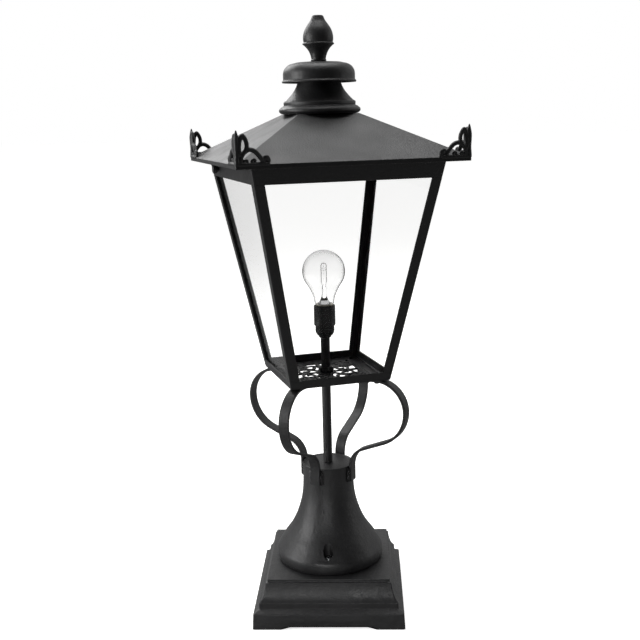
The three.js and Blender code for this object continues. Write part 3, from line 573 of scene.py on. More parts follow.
# ------------------------------------------------------------------ operators
class LANTERN_OT_stage(bpy.types.Operator):
    """Sets the camera, the soft studio light and the pale floor"""

    bl_idname = "lantern.stage"
    bl_label = "Stage"

    def execute(self, context):
        stage, colours = context.scene.lantern_stage, context.scene.lantern_colours
        data = bpy.data.cameras.new("camera")
        data.lens = stage.camera_lens
        data.sensor_width = 36
        camera = bpy.data.objects.new("camera", data)
        context.scene.collection.objects.link(camera)
        camera.matrix_world = (
            Matrix.Translation((stage.camera_x, stage.camera_y, stage.camera_z))
            @ about_z(stage.camera_pan)
            @ Matrix.Rotation(math.pi / 2 - stage.camera_tilt, 4, "X")
            @ about_z(stage.camera_roll)
        )
        context.scene.camera = camera
        context.scene.view_settings.view_transform = "Standard"
        self.light(context)
        self.world(context)
        mesh = bpy.data.meshes.new("floor")
        reach = 30.0
        corners = [(-reach, -reach), (reach, -reach), (reach, reach), (-reach, reach)]
        mesh.from_pydata([(x, y, -0.2 * MM) for x, y in corners], [], [(0, 1, 2, 3)])
        # Seamless paper, lit until it reads as white from the camera, with only a faint shadow.
        tree, output = blank("matt_paper_floor")
        seen = seen_straight(tree)
        paper = node(tree, "ShaderNodeBsdfDiffuse", {"Color": (*colours.floor, 1)})
        lit = node(tree, "ShaderNodeEmission", {"Color": (1, 1, 1, 1), "Strength": 0.72})
        bright = node(tree, "ShaderNodeAddShader", {0: paper.outputs["BSDF"], 1: lit.outputs["Emission"]})
        dim = node(tree, "ShaderNodeBsdfDiffuse", {"Color": (0.3, 0.3, 0.3, 1)})
        shader = node(tree, "ShaderNodeMixShader", {
            0: seen, 1: dim.outputs["BSDF"], 2: bright.outputs["Shader"],
        })
        tree.links.new(shader.outputs["Shader"], output.inputs["Surface"])
        mesh.materials.append(bpy.data.materials["matt_paper_floor"])
        floor = bpy.data.objects.new("floor", mesh)
        context.scene.collection.objects.link(floor)
        return {"FINISHED"}

    def light(self, context):
        """Soft boxes: name, place, where it points, width, height, power and spread in degrees."""
        boxes = (
            ("left_box", (-1.9, -0.5, 0.8), (0, 0, 0.5), 0.9, 1.5, 30, 180),
            ("right_box", (2.1, 0.3, 0.8), (0, 0, 0.4), 0.5, 1.6, 3, 180),
            ("back_left_box", (-1.3, 1.5, 1.9), (0, 0, 0.6), 1.4, 1.2, 26, 180),
            ("top_box", (0.0, 0.3, 2.6), (0, 0, 0.5), 1.6, 1.6, 34, 180),
            ("low_front_box", (-0.3, -1.9, 0.4), (0, -0.1, 0.0), 0.6, 0.2, 0.3, 28),
        )
        for name, where, target, width, height, power, spread in boxes:
            data = bpy.data.lights.new(name, "AREA")
            data.shape = "RECTANGLE"
            data.size, data.size_y = width, height
            data.energy = power
            data.spread = math.radians(spread)
            lamp = bpy.data.objects.new(name, data)
            away = Matrix.Translation(where).translation - Matrix.Translation(target).translation
            lamp.matrix_world = Matrix.Translation(where) @ away.to_track_quat("Z", "Y").to_matrix().to_4x4()
            # Unseen by the eye, straight or through the panes; it only lights the surfaces.
            lamp.visible_camera = False
            lamp.visible_transmission = False
            context.scene.collection.objects.link(lamp)

    def world(self, context):
        """White where it is seen straight or through glass; to the surfaces it is a studio that
        is bright behind and at the sides and dim towards the front."""
        world = bpy.data.worlds.new("studio")
        world.use_nodes = True
        tree = world.node_tree
        tree.nodes.clear()
        way = node(tree, "ShaderNodeTexCoord").outputs["Generated"]
        split = node(tree, "ShaderNodeSeparateXYZ", {"Vector": way})
        fade = node(tree, "ShaderNodeMapRange", {
            "Value": split.outputs["Y"], "From Min": -0.5, "From Max": 0.6, "To Min": 0.05, "To Max": 0.62,
        })
        seen = seen_straight(tree)
        level = node(tree, "ShaderNodeMix", {
            "Factor": seen, 2: fade.outputs["Result"], 3: 1.0,
        }, data_type="FLOAT")
        sky = node(tree, "ShaderNodeBackground", {
            "Color": (1, 1, 1, 1), "Strength": level.outputs[0],
        })
        output = node(tree, "ShaderNodeOutputWorld", {"Surface": sky.outputs["Background"]})
        output.is_active_output = True
        context.scene.world = world


class LANTERN_OT_finishes(bpy.types.Operator):
    """Mixes the finishes of every piece"""

    bl_idname = "lantern.finishes"
    bl_label = "Finishes"

    def execute(self, context):
        colours = context.scene.lantern_colours
        powder_coat("powder_coated_casting", colours.casting, 2.0, 0.3, 9)
        powder_coat("powder_coated_sheet", colours.coat, 2.4, 0.45)
        powder_coat("powder_coated_weld", colours.coat, 0.9, 0.3, 3)
        # The flat panes are matched to thin clear glazing that shows almost no reflection.
        clear_glass("clear_float_glass", (0.965, 0.965, 0.965), 60, 0.0005, 1.08)
        clear_glass("clear_blown_glass", (0.985, 0.985, 0.985), 14, 0.08, 1.45)
        plated("zinc_plated_steel", colours.zinc, 0.3, 0.8)
        plated("nickel_plated_brass", colours.nickel, 0.22, 0.9)
        plated("drawn_tungsten", colours.tungsten, 0.35, 0.4)
        moulded("polished_bakelite", colours.bakelite, 0.12, 0.3, 6, 0.02)
        moulded("pressed_steatite", colours.ceramic, 0.45, 0.0, 0.7, 0.08)
        moulded("extruded_sheath", colours.rubber, 0.6, 0.0, 1.2, 0.06)
        return {"FINISHED"}


class LANTERN_OT_plinth(bpy.types.Operator):
    """Casts the hollow moulded plinth on its four corner feet"""

    bl_idname = "lantern.plinth"
    bl_label = "Plinth"

    def execute(self, context):
        size = context.scene.lantern_sizes
        _, high = span("plinth")
        half, top, wall = high[0], high[2], size.plinth_wall / MM
        way = size.column_way / MM
        relief, depth = size.relief_height / MM, size.relief_depth / MM
        block, draft, clear = size.block_height / MM, size.block_draft / MM, 2.0
        step, crest, cove_top, ceiling = half - 9, half - 20.8, top - 4.5, top - wall
        # Inside, from the opening outwards and down to the rim.
        inside = eased([
            (way, ceiling), (crest - 4.7, ceiling), (step - 1.5 * wall, block + 4.5),
            (half - wall, block - wall), (half - wall, 0),
        ], 2, 2, closed=False)
        level = np.array([0, 0.7, clear - 0.2, clear + 0.2, relief - 0.4, relief + 0.4])
        foot = np.column_stack([half - draft * level / block - 0.7 * (level == 0), level])
        mouldings = eased([
            (half - draft * 0.7, block * 0.7), (half - draft, block), (step, block + 4.5),
            (step, block + 12.8), (step - 0.8, block + 13.4),
        ], (1, 0.9, 0.8, 0.5, 1), 4, closed=False)
        s = np.linspace(0, 1, 16)[:, None]
        start, hollow, end = (np.array(c) for c in (mouldings[-1], (crest + 4, 44), (crest + 2.3, cove_top)))
        cove = (1 - s) ** 2 * start + 2 * s * (1 - s) * hollow + s**2 * end
        crown = eased([
            (crest + 2.3, cove_top), (crest, cove_top + 0.7), (crest, top), (crest - 12, top),
        ], 0.7, 4, closed=False)
        profile = np.concatenate([inside, foot, mouldings, cove[1:-1], crown, [(way, top)]])
        first = len(inside)
        corner = np.full(len(profile), size.plinth_corner / MM)
        corner[:first] = 6
        corner[0] = corner[-1] = way
        # The panel between the feet: its slanted ends follow the height, and its lower edge
        # stands clear of the floor.
        h, z = profile.T
        outside = (np.arange(len(h)) >= first) & (np.arange(len(h)) < first + 6)
        reach = half - size.foot_length / MM - np.where(outside, np.clip(z, 0, relief), relief)
        inner, outer = reach - 0.4, reach + 0.4
        spread = np.linspace(-1, 1, 7)
        marks = np.concatenate([-outer[:, None], inner[:, None] * spread, outer[:, None]], 1)
        flat = np.maximum(h - np.minimum(corner, h), 1e-6)
        set_back = np.where(outside & (z < relief), depth, 0.0) + np.where(outside & (z < clear), 2.4, 0.0)
        inset = np.zeros_like(marks)
        inset[:, 1:-1] = set_back[:, None]
        along = np.where(flat[:, None] < 1, 0, np.clip(marks / flat[:, None], -1, 1))
        shells = [around_square(profile, corner, along, inset, closed=True)]
        pad = 36
        for x, y in ((1, 1), (-1, 1), (-1, -1), (1, -1)):
            near, far = half - 5 - pad, half - wall + 0.5
            outline = eased([(near, near), (far, near), (far, far), (near, far)], 1.5, 3)
            rings = np.stack([
                np.column_stack([outline, np.full(len(outline), height)]) for height in (0.1, 13, 14)
            ])
            rings[2, :, :2] += np.sign((near + far) / 2 - rings[2, :, :2])
            points, faces = skin(rings, capped=True)
            turn = math.atan2(y, x) - TURN / 8
            shells.append(moved((points, faces), about_z(turn)))
        made = piece("plinth_casting", shells, "powder_coated_casting", 38)
        place(made, "casting", "plinth")
        return {"FINISHED"}


def button_screw(head_top, head_low, head_radius, shank_radius, foot):
    """A button-headed screw with a hexagon socket, standing on its shank."""
    rise = head_top - head_low
    key = head_radius * 0.42
    profile = [
        (0, foot), (shank_radius * 0.8, foot), (shank_radius, foot + 0.6), (shank_radius, head_low),
        (head_radius - 0.2, head_low), (head_radius, head_low + 0.25),
        *arc(head_radius * 0.55, head_low + rise * 0.4, head_radius * 0.45, rise * 0.6, 0, 90, 6),
        (key * 1.3, head_top), (key * 1.15, head_top - 0.15),
        (key * 1.15, head_top - rise * 0.55), (0, head_top - rise * 0.6),
    ]
    flats = np.full(len(profile), 1e3)
    flats[-2] = flats[-3] = key
    return revolve(profile, 48, flats)


def hex_nut(low, high, across_corners, bore):
    """A chamfered hexagon nut: each ring is the smaller of a cone and the hexagon."""
    flat = across_corners / 2 * math.cos(TURN / 12)
    cone, full = flat * 0.97, across_corners
    rim = flat * 0.12
    profile = [
        (bore, low + 0.5), (bore + 0.5, low), (cone, low), (full / 2, low + rim), (full / 2, high - rim),
        (cone, high), (bore + 0.5, high), (bore, high - 0.5),
    ]
    return revolve(profile, 72, np.full(len(profile), flat), closed=True)


class LANTERN_OT_column(bpy.types.Operator):
    """Casts the flared bell with its counterbored fixings, and closes its neck"""

    bl_idname = "lantern.column"
    bl_label = "Column"

    def execute(self, context):
        low, high = span("bell")
        foot, top, wide = low[2], high[2], high[0]
        flare = spline([
            (wide - 1.6, foot + 1.2), (wide - 0.3, foot + 6), (wide, foot + 11), (wide - 0.7, foot + 16),
            (74, 87.5), (66.2, 100), (56.6, 113.3), (48.5, 128.5), (41.9, 147.5), (38.5, 163),
            (37.1, 178), (36.6, 194), (36.5, top - 0.8),
        ], 70)
        plate_low, plate_high = span("neck_plate")
        recess, seat = plate_high[0] + 0.3, plate_low[2] - 0.3
        inside = eased([(recess, top - 0.4), (recess, seat), (28, seat), (28, 168), (33, 148), (41, 125),
                        (50, 106), (50, foot)], 1.2, 2, closed=False)
        profile = np.concatenate([flare, [(36.1, top - 0.2), (35.5, top), (recess + 0.5, top)], inside,
                                  [(wide - 3, foot)]])
        made = piece("bell_casting", [revolve(profile, 144, closed=True)], "powder_coated_casting")
        tools = []
        for i in (1, 2, 3):
            low_screw, high_screw = span(f"bell_screw_{i}")
            centre = (low_screw + high_screw) / 2
            floor = high_screw[2] - 3.9
            bore = [(0, floor), (6.9, floor), (6.9, 150), (0, 150)]
            tool = moved(revolve(bore, 40), Matrix.Translation((centre[0], centre[1], 0)))
            tools.append(piece(f"tool_{i}", [tool], "powder_coated_casting"))
            screw = button_screw(high_screw[2] + 2.2, floor + 0.3, 4.6, 2.5, low_screw[2])
            screw = moved(screw, Matrix.Translation((centre[0], centre[1], 0)))
            place(piece(f"fixing_screw_{i}", [screw], "zinc_plated_steel"), "zinc", f"bell_screw_{i}")
        carve(made, tools)
        place(made, "casting", "bell")
        tube = span("stem_tube")[1][0]
        disc = eased([(tube - 0.6, plate_low[2]), (plate_high[0], plate_low[2]),
                      (plate_high[0], plate_high[2]), (tube - 0.6, plate_high[2])], 0.5)
        cover = piece("neck_cover", [revolve(disc, 96, closed=True)], "powder_coated_sheet")
        place(cover, "coat", "neck_plate")
        return {"FINISHED"}


class LANTERN_OT_stem(bpy.types.Operator):
    """Makes the stem tube, its nuts, the terminal block and the inner lead"""

    bl_idname = "lantern.stem"
    bl_label = "Stem"

    def execute(self, context):
        low, high = span("stem_tube")
        outer, bore, spigot = high[0], high[0] - 2, high[0] - 0.9
        shoulder = span("neck_plate")[1][2] + 0.05
        wall = eased([(bore, low[2]), (spigot, low[2]), (spigot, shoulder), (outer, shoulder),
                      (outer, high[2]), (bore, high[2])], 0.5)
        tube = piece("stem", [revolve(wall, 64, closed=True)], "powder_coated_sheet")
        place(tube, "coat", "stem_tube")
        across = context.scene.lantern_sizes.tube_nut / MM
        for name, slot, material in (
            ("neck_nut", "zinc", "zinc_plated_steel"),
            ("grid_nut_upper", "coat", "powder_coated_sheet"),
            ("grid_nut_lower", "coat", "powder_coated_sheet"),
        ):
            nut_low, nut_high = span(name)
            hole = (spigot if slot == "zinc" else outer) + 0.3
            shell = moved(hex_nut(nut_low[2], nut_high[2], across, hole), about_z(HEAD))
            place(piece(f"tube_{name}", [shell], material), slot, name)
        eased_copy("terminal_block", "terminal_housing", "pressed_steatite", "ceramic", 1.0)
        lead = frame["nodes"]["lead_wire"]
        lead.material_slots[0].material = bpy.data.materials["extruded_sheath"]
        return {"FINISHED"}


class LANTERN_OT_straps(bpy.types.Operator):
    """Bends the four scrolled straps, welds them to the neck and screws them to the head"""

    bl_idname = "lantern.straps"
    bl_label = "Straps"

    def line(self, size):
        """The strap's centre line as radius and height: flat, round the scroll in two arcs, back
        in on a straight, round a reverse bend and down the neck."""
        low, high = span("strap_front_right")
        thick = size.strap_thickness / MM
        top, reach, widest = high[2] - thick / 2, size.strap_reach / MM, 298
        upper, lower, dip, run, neck = top - 298, 50, math.radians(22), 37, 39.3
        first = arc(reach - upper, widest, upper, upper, 90, 0, 24)
        second = arc(reach - lower, widest, lower, lower, 0, -68, 16)
        inner = second[-1] - run * np.array([math.cos(dip), math.sin(dip)])
        bend = (inner[0] - neck) / (1 - math.sin(dip))
        third = arc(neck + bend, inner[1] - bend * math.cos(dip), bend, bend, 112, 180, 14)
        return np.concatenate([
            [(58, top), (70, top)], first, second[1:], third, [(neck, third[-1][1] - 8), (neck, low[2])],
        ])

    def weld(self, radius, low, high, side, leg, seed):
        """A hand-run weld: a bead whose ripples swell it by sines of its height."""
        z = np.linspace(low, high, 90)
        t = (z - low) / (high - low)
        swell = 0.55 + 0.65 * np.abs(np.sin(z * 0.8 + seed)) + 0.15 * np.sin(z * 2.3 + 2 * seed)
        ends = np.sqrt(np.clip(12 * t * (1 - t), 0, 1))
        x = radius + 0.5 * np.sin(z * 1.1 + seed)
        y = side + 0.7 * np.sin(z * 0.8 + 3 * seed)
        path = np.stack([x, y, z], -1)
        return sweep(path, oval(2 * leg, 1.7 * leg, 10), (1, 0, 0), swell * ends + 0.02)

    def execute(self, context):
        size = context.scene.lantern_sizes
        width, thick = size.strap_width / MM, size.strap_thickness / MM
        line = self.line(size)
        edge = eased(
            [(-thick / 2, -width / 2), (thick / 2, -width / 2),
             (thick / 2, width / 2), (-thick / 2, width / 2)],
            0.8, 3,
        )
        bar = sweep(at(*line.T), edge, (0, 1, 0))
        neck_top = span("bell")[1][2]
        tail = line[-1][1]
        for i, corner in enumerate(CORNERS):
            turn = about_z(HEAD - TURN / 8 + i * TURN / 4)
            strap = piece(f"scroll_strap_{corner}", [moved(bar, turn)], "powder_coated_sheet")
            place(strap, "coat", f"strap_{corner}")
            beads = [
                moved(self.weld(
                    36.8, tail - 1, neck_top - 3, side * (width / 2 + 0.6), size.weld_size / MM, i + side
                ), turn)
                for side in (-1, 1)
            ]
            beads.append(moved(self.cross_weld(width, tail, size.weld_size / MM, i), turn))
            weld = piece(f"neck_weld_{corner}", beads, "powder_coated_weld", 60)
            place(fuse(weld, 0.7, 1), "coat", body="root")
            for kind in ("grid", "frame"):
                name = f"{kind}_screw_{corner}"
                low, high = span(name)
                centre = (low + high) / 2
                upright = button_screw(-low[2], -low[2] - 2.8, 3.9, 2.0, -high[2])
                flip = Matrix.Translation((centre[0], centre[1], 0)) @ Matrix.Rotation(math.pi, 4, "X")
                screw = piece(f"strap_{name}", [moved(upright, flip)], "powder_coated_sheet")
                place(screw, "coat", name)
        return {"FINISHED"}

    def cross_weld(self, width, tail, leg, seed):
        """The bead across a strap's lower end."""
        y = np.linspace(-width / 2, width / 2, 24)
        swell = 0.7 + 0.15 * np.sin(y * 2.3 + seed)
        path = np.stack([np.full_like(y, 37.2), y, tail + 0.2 * np.sin(y + seed)], -1)
        return sweep(path, oval(1.5 * leg, 1.3 * leg, 10), (1, 0, 0), swell)


class LANTERN_OT_frame(bpy.types.Operator):
    """Joins the lantern's lower and upper rails and its four corner posts"""

    bl_idname = "lantern.frame"
    bl_label = "Frame"

    def execute(self, context):
        size = context.scene.lantern_sizes
        sheet, ledge = size.sheet / MM, size.ledge / MM
        inner = half_at(RAIL_LOW) - ledge
        floor = RAIL_LOW + sheet
        lower = eased([
            (inner, RAIL_LOW), (half_at(RAIL_LOW), RAIL_LOW), (half_at(RAIL_HIGH), RAIL_HIGH),
            (half_at(RAIL_HIGH) - sheet, RAIL_HIGH), (half_at(floor) - sheet, floor), (inner, floor),
        ], 0.7, 3)
        under = BAND_HIGH - sheet
        inner = half_at(BAND_HIGH) - size.top_ledge / MM
        upper = eased([
            (inner, under), (half_at(under) - sheet, under), (half_at(BAND_LOW) - sheet, BAND_LOW),
            (half_at(BAND_LOW), BAND_LOW), (half_at(BAND_HIGH), BAND_HIGH), (inner, BAND_HIGH),
        ], 0.7, 3)
        for name, profile, node_name in (
            ("lower_rail", lower, "bottom_frame"), ("upper_rail", upper, "top_frame"),
        ):
            ring = moved(around_square(profile, 1.6, closed=True), about_z(HEAD))
            place(piece(name, [ring], "powder_coated_sheet"), "coat", node_name)
        for i, corner in enumerate(CORNERS):
            turned = about_z(HEAD - TURN / 4 + i * TURN / 4)
            post = moved(self.post(f"corner_post_{corner}", sheet, size.post_leg / MM), turned)
            place(piece(f"post_{corner}", [post], "powder_coated_sheet"), "coat", f"corner_post_{corner}")
        return {"FINISHED"}

    def post(self, node_name, sheet, leg):
        """An angle section between two levels, its corner on the lantern's tapering edge."""
        low, high = span(node_name)
        outline = eased(
            [(0, 0), (0, -leg), (-sheet, -leg), (-sheet, -sheet), (-leg, -sheet), (-leg, 0)],
            (1.4, 0.5, 0.5, 0.8, 0.5, 0.5), 4,
        )[::-1]
        levels = np.linspace(low[2] - 0.25, high[2] + 0.25, 12)
        rings = [np.column_stack([outline + half_at(z), np.full(len(outline), z)]) for z in levels]
        return skin(np.stack(rings), capped=True)


class LANTERN_OT_panes(bpy.types.Operator):
    """Glazes the four sides"""

    bl_idname = "lantern.panes"
    bl_label = "Panes"

    def execute(self, context):
        size = context.scene.lantern_sizes
        near = size.sheet / MM + 0.3
        thick, margin = size.pane / MM, size.pane_margin / MM
        for i, side in enumerate(SIDES):
            low, high = span(f"pane_{side}")
            rings = []
            for z, nip in ((low[2], 0.5), (low[2] + 0.5, 0), (high[2] - 0.5, 0), (high[2], 0.5)):
                half = half_at(z)
                wide, front, back = half - margin, -(half - near), -(half - near - thick)
                outline = [
                    (-wide + nip, front + nip), (wide - nip, front + nip),
                    (wide - nip, back - nip), (-wide + nip, back - nip),
                ]
                rings.append(np.column_stack([eased(outline, 0.5, 2), np.full(12, z)]))
            shell = moved(skin(np.stack(rings), capped=True), about_z(HEAD + i * TURN / 4))
            place(piece(f"glass_{side}", [shell], "clear_float_glass", 12), "glass", f"pane_{side}")
        return {"FINISHED"}


class LANTERN_OT_grid(bpy.types.Operator):
    """Casts the scrolled floor grid"""

    bl_idname = "lantern.grid"
    bl_label = "Floor grid"

    def curl(self, centre, radius, start, turns, facing):
        """A scroll that winds in: the radius shrinks evenly to a third as the angle runs on."""
        t = np.linspace(0, 1, 40)
        angle = math.radians(start) + facing * t * turns * TURN
        reach = radius * (1 - 0.68 * t)
        return np.stack([centre[0] + reach * np.cos(angle), centre[1] + reach * np.sin(angle)], -1)

    def execute(self, context):
        low, high = span("floor_grid")
        middle, thick = (low[2] + high[2]) / 2, high[2] - low[2]
        half = half_at(RAIL_LOW) - context.scene.lantern_sizes.ledge / MM - 0.3
        hole = span("stem_tube")[1][0] + 0.3
        shells = []
        border = np.array([(half - 5.5, low[2]), (half, low[2]), (half, high[2]), (half - 5.5, high[2])])
        shells.append(around_square(eased(border, 0.4), 1.5, closed=True))
        hub = [(hole, low[2]), (hole + 8, low[2]), (hole + 8, high[2]), (hole, high[2])]
        shells.append(revolve(eased(hub, 0.4), 64, closed=True))
        flat = oval(4.2, thick, 12)

        def bar(points):
            path = np.column_stack([points, np.full(len(points), middle)])
            return sweep(path, flat, (0, 0, 1))

        for k in range(4):
            turn = about_z(k * TURN / 4)
            for mirror in (1, -1):
                pair = [
                    self.curl((27, 13.5 * mirror), 11.5, -90 * mirror, 1.15, mirror),
                    self.curl((42, 27 * mirror), 9.0, 180, 1.1, -mirror),
                    self.curl((24, 37 * mirror), 8.0, 0, 1.1, mirror),
                    np.array([(13, 0), (28, 1.2 * mirror), (half - 3, 1.2 * mirror)]),
                ]
                shells += [moved(bar(points), turn) for points in pair]
            shells.append(moved(bar(np.array([(10, 10), (26, 26), (40, 40), (half - 3, half - 3)])), turn))
            pad = moved(revolve([(0, low[2]), (8.5, low[2]), (8.5, high[2]), (0, high[2])], 32),
                        Matrix.Translation((46.7, 46.7, 0)))
            shells.append(moved(pad, turn))
        made = piece(
            "scroll_grid", [moved(shell, about_z(HEAD)) for shell in shells], "powder_coated_casting", 60
        )
        place(fuse(made, 0.55, 2), "coat", "floor_grid")
        return {"FINISHED"}


class LANTERN_OT_holder(bpy.types.Operator):
    """Turns the polished lampholder and its contact block"""

    bl_idname = "lantern.holder"
    bl_label = "Lampholder"

    def execute(self, context):
        low, high = span("holder_dome")
        tube = span("stem_tube")[1][0] + 0.3
        outer = [(tube, low[2]), (8.2, low[2]), (8.7, low[2] + 0.6), (8.9, low[2] + 2)]
        dome = arc(6.4, 407, 7.2, 9.5, -70, 0, 14)
        inner = [(high[0] - 0.2, high[2]), (12, high[2]), (11.5, 409), (tube, 403)]
        profile = np.concatenate([outer, dome, inner])
        cup = piece("holder_cup", [revolve(profile, 96, closed=True)], "polished_bakelite", 40)
        place(cup, "bakelite", "holder_dome")
        low, high = span("holder_sleeve")
        wide = high[0]
        profile = eased([
            (14, low[2]), (wide - 0.5, low[2]), (wide, low[2] + 1.2), (wide, high[2] - 3.2),
            (wide - 0.35, high[2] - 2.9), (wide - 0.35, high[2] - 2.5), (wide, high[2] - 2.2),
            (wide, high[2]), (14, high[2]),
        ], 0.35, 3)
        sleeve = piece("holder_skirt", [revolve(profile, 96, closed=True)], "polished_bakelite", 40)
        place(sleeve, "bakelite", "holder_sleeve")
        low, high = span("holder_contact")
        block = [(0, low[2]), (12, low[2]), (13.5, low[2] + 0.6), (13.5, low[2] + 4.4), (5, low[2] + 4.5),
                 (4, high[2] - 0.4), (3.4, high[2]), (0, high[2])]
        contact = piece("holder_insert", [revolve(block, 48)], "pressed_steatite")
        place(contact, "ceramic", "holder_contact")
        return {"FINISHED"}


class LANTERN_OT_bulb(bpy.types.Operator):
    """Blows the clear globe and fits its cap, stem and coiled hairpin filament"""

    bl_idname = "lantern.bulb"
    bl_label = "Lamp"

    def cap(self):
        """The screw cap: between its ends r = R + a cos(2 pi z / pitch - u), a rolled thread."""
        low, high = span("bulb_cap")
        radius, pitch, depth = high[0] - 0.45, 3.6, 0.45
        z = np.linspace(low[2] + 5.5, high[2] - 3, 64)
        u = np.linspace(0, TURN, 72, endpoint=False)
        fade = np.clip(np.minimum(z - z[0], z[-1] - z) / 1.5, 0, 1)[:, None]
        r = radius + depth * fade * np.cos(TURN * z[:, None] / pitch - u)
        thread = np.stack([r * np.cos(u), r * np.sin(u), np.broadcast_to(z[:, None], r.shape)], -1)
        start = revolve([(0, low[2]), (4.3, low[2]), (4.6, low[2] + 0.5), (8.5, low[2] + 2.5),
                         (radius - 1, low[2] + 4.5)], 72)[0].reshape(-1, 72, 3)
        end = revolve([(radius + 0.3, high[2] - 2), (radius + 0.3, high[2] - 0.3), (radius, high[2]),
                       (0, high[2])], 72)[0].reshape(-1, 72, 3)
        return skin(np.concatenate([start, thread, end]))

    def globe(self, wall):
        """The neck, shoulder and dome, as an inner and an outer skin joined at the open foot."""
        low, high = span("bulb_globe")
        middle = high[2] - 30
        shape = spline([
            (13.6, low[2]), (14.0, low[2] + 3), (14.9, low[2] + 8.5),
            (17.2, low[2] + 15), (21.3, low[2] + 23.5),
            *arc(0, middle, 30, 30, -30, 90, 12),
        ], 84)
        shape[-1] = (0, high[2])
        slope = np.gradient(shape, axis=0)
        slope /= np.linalg.norm(slope, axis=1)[:, None]
        inner = shape - wall * np.stack([slope[:, 1], -slope[:, 0]], -1)
        inner[-1] = (0, high[2] - wall)
        inner[:, 0] = np.maximum(inner[:, 0], 0)
        return revolve(np.concatenate([inner[::-1], shape]), 96)

    def coil(self):
        """The coil, wound round a hairpin: a helix of radius 0.5 about the hairpin's line."""
        low, high = span("bulb_filament")
        top, leg, foot = high[2] - 0.6, 3.8, low[2] + 0.3
        up = at(*np.array([(-leg, foot), (-leg, top - leg)]).T)
        over = arc(0, top - leg, leg, leg, 180, 0, 12)
        down = at(*np.array([(leg, top - leg), (leg, foot)]).T)
        line = np.concatenate([up, at(*over.T)[1:-1], down])
        gaps = np.concatenate([[0], np.cumsum(np.linalg.norm(np.diff(line, axis=0), axis=1))])
        s = np.linspace(0, gaps[-1], 760)
        middle = np.stack([np.interp(s, gaps, line[:, k]) for k in range(3)], -1)
        along = np.gradient(middle, axis=0)
        along /= np.linalg.norm(along, axis=1)[:, None]
        across = np.broadcast_to((0.0, 1.0, 0.0), along.shape)
        lift = np.cross(along, across)
        wind = TURN * s / 1.15
        path = middle + 0.65 * (np.cos(wind)[:, None] * across + np.sin(wind)[:, None] * lift)
        return sweep(path, oval(0.42, 0.42, 5), (0.31, 0.77, 0.56)), line

    def wire(self, points, thick=0.45):
        """A support wire through a few points."""
        return sweep(spline(points, 24), oval(thick, thick, 8), (0, 1, 0.001))

    def execute(self, context):
        wall = context.scene.lantern_sizes.globe_wall / MM
        head = about_z(HEAD)
        cap = piece("screw_cap", [moved(self.cap(), head)], "nickel_plated_brass", 50)
        place(cap, "nickel", "bulb_cap")
        globe = piece("globe", [self.globe(wall)], "clear_blown_glass", 60)
        place(globe, "glass", "bulb_globe")
        low, high = span("bulb_stem")
        foot = low[2]
        flare = spline([
            (9, foot + 0.4), (7, foot + 3), (4.4, foot + 8), (3.2, foot + 14), (3.0, foot + 22),
        ], 24)
        top = high[2]
        profile = np.concatenate([[(0, foot), (8.6, foot)], flare,
                                  [(2.4, foot + 24), (1.2, foot + 26), (0.9, top - 4),
                                   (1.9, top - 2), (1.5, top - 0.4), (0, top)]])
        stem = piece("glass_mount", [revolve(profile, 40)], "clear_blown_glass", 50)
        place(stem, "glass", "bulb_stem")
        coil, line = self.coil()
        base = line[0]
        shells = [coil]
        for side in (-1, 1):
            shells.append(self.wire([
                (1.8 * side, 0, foot + 21), (2.6 * side, 0, foot + 26), (3.8 * side, 0, base[2] + 0.2),
            ]))
            shells.append(self.wire([
                (0.9 * side, 0, top - 6), (2.4 * side, 0, top - 5), (4.0 * side, 0.6, top - 4.6),
            ], 0.3))
        shells.append(self.wire([
            (0, 0, top - 1), (0.2, 0.2, high[2] + 2.0), (0, 0.5, span("bulb_filament")[1][2] - 1),
        ], 0.3))
        filament = piece("coiled_filament", [moved(shell, head) for shell in shells], "drawn_tungsten", 60)
        place(filament, "tungsten", "bulb_filament")
        return {"FINISHED"}


class LANTERN_OT_roof(bpy.types.Operator):
    """Folds the four-sided roof with its drip lip, soffit and vented crown"""

    bl_idname = "lantern.roof"
    bl_label = "Roof"

    def execute(self, context):
        sheet = context.scene.lantern_sizes.roof_sheet / MM
        low, high = span("roof")
        half, foot, top = half_of("roof"), low[2], high[2]
        crown, lip = 42, foot + 5.5
        pitch = (top - lip) / (half - crown)
        drop = sheet * math.hypot(1, pitch)
        profile = eased([
            (3.3, top - sheet), (crown - sheet / 2, top - sheet), (half - sheet, lip + pitch * sheet - drop),
            (half - sheet, foot + sheet), (110, foot + sheet), (110, foot), (half, foot), (half, lip),
            (crown, top), (3.3, top),
        ], (0, 1, 0.6, 0.6, 0.6, 0.6, 0.7, 0.9, 1.6, 0), 3)
        corner = np.where(profile[:, 0] < 10, 10, 1.2)
        shell = moved(around_square(profile, corner, closed=True, steps=8), about_z(HEAD))
        made = piece("roof_sheet", [shell], "powder_coated_sheet", 26)
        tools = []
        for i in range(6):
            angle = HEAD + i * TURN / 6
            vent = revolve([(0, top - 9), (5, top - 9), (5, top + 4), (0, top + 4)], 32)
            spot = Matrix.Translation((24 * math.cos(angle), 24 * math.sin(angle), 0))
            tools.append(piece(f"vent_tool_{i}", [moved(vent, spot)], "powder_coated_sheet"))
        place(carve(made, tools, 26), "coat", "roof")
        return {"FINISHED"}


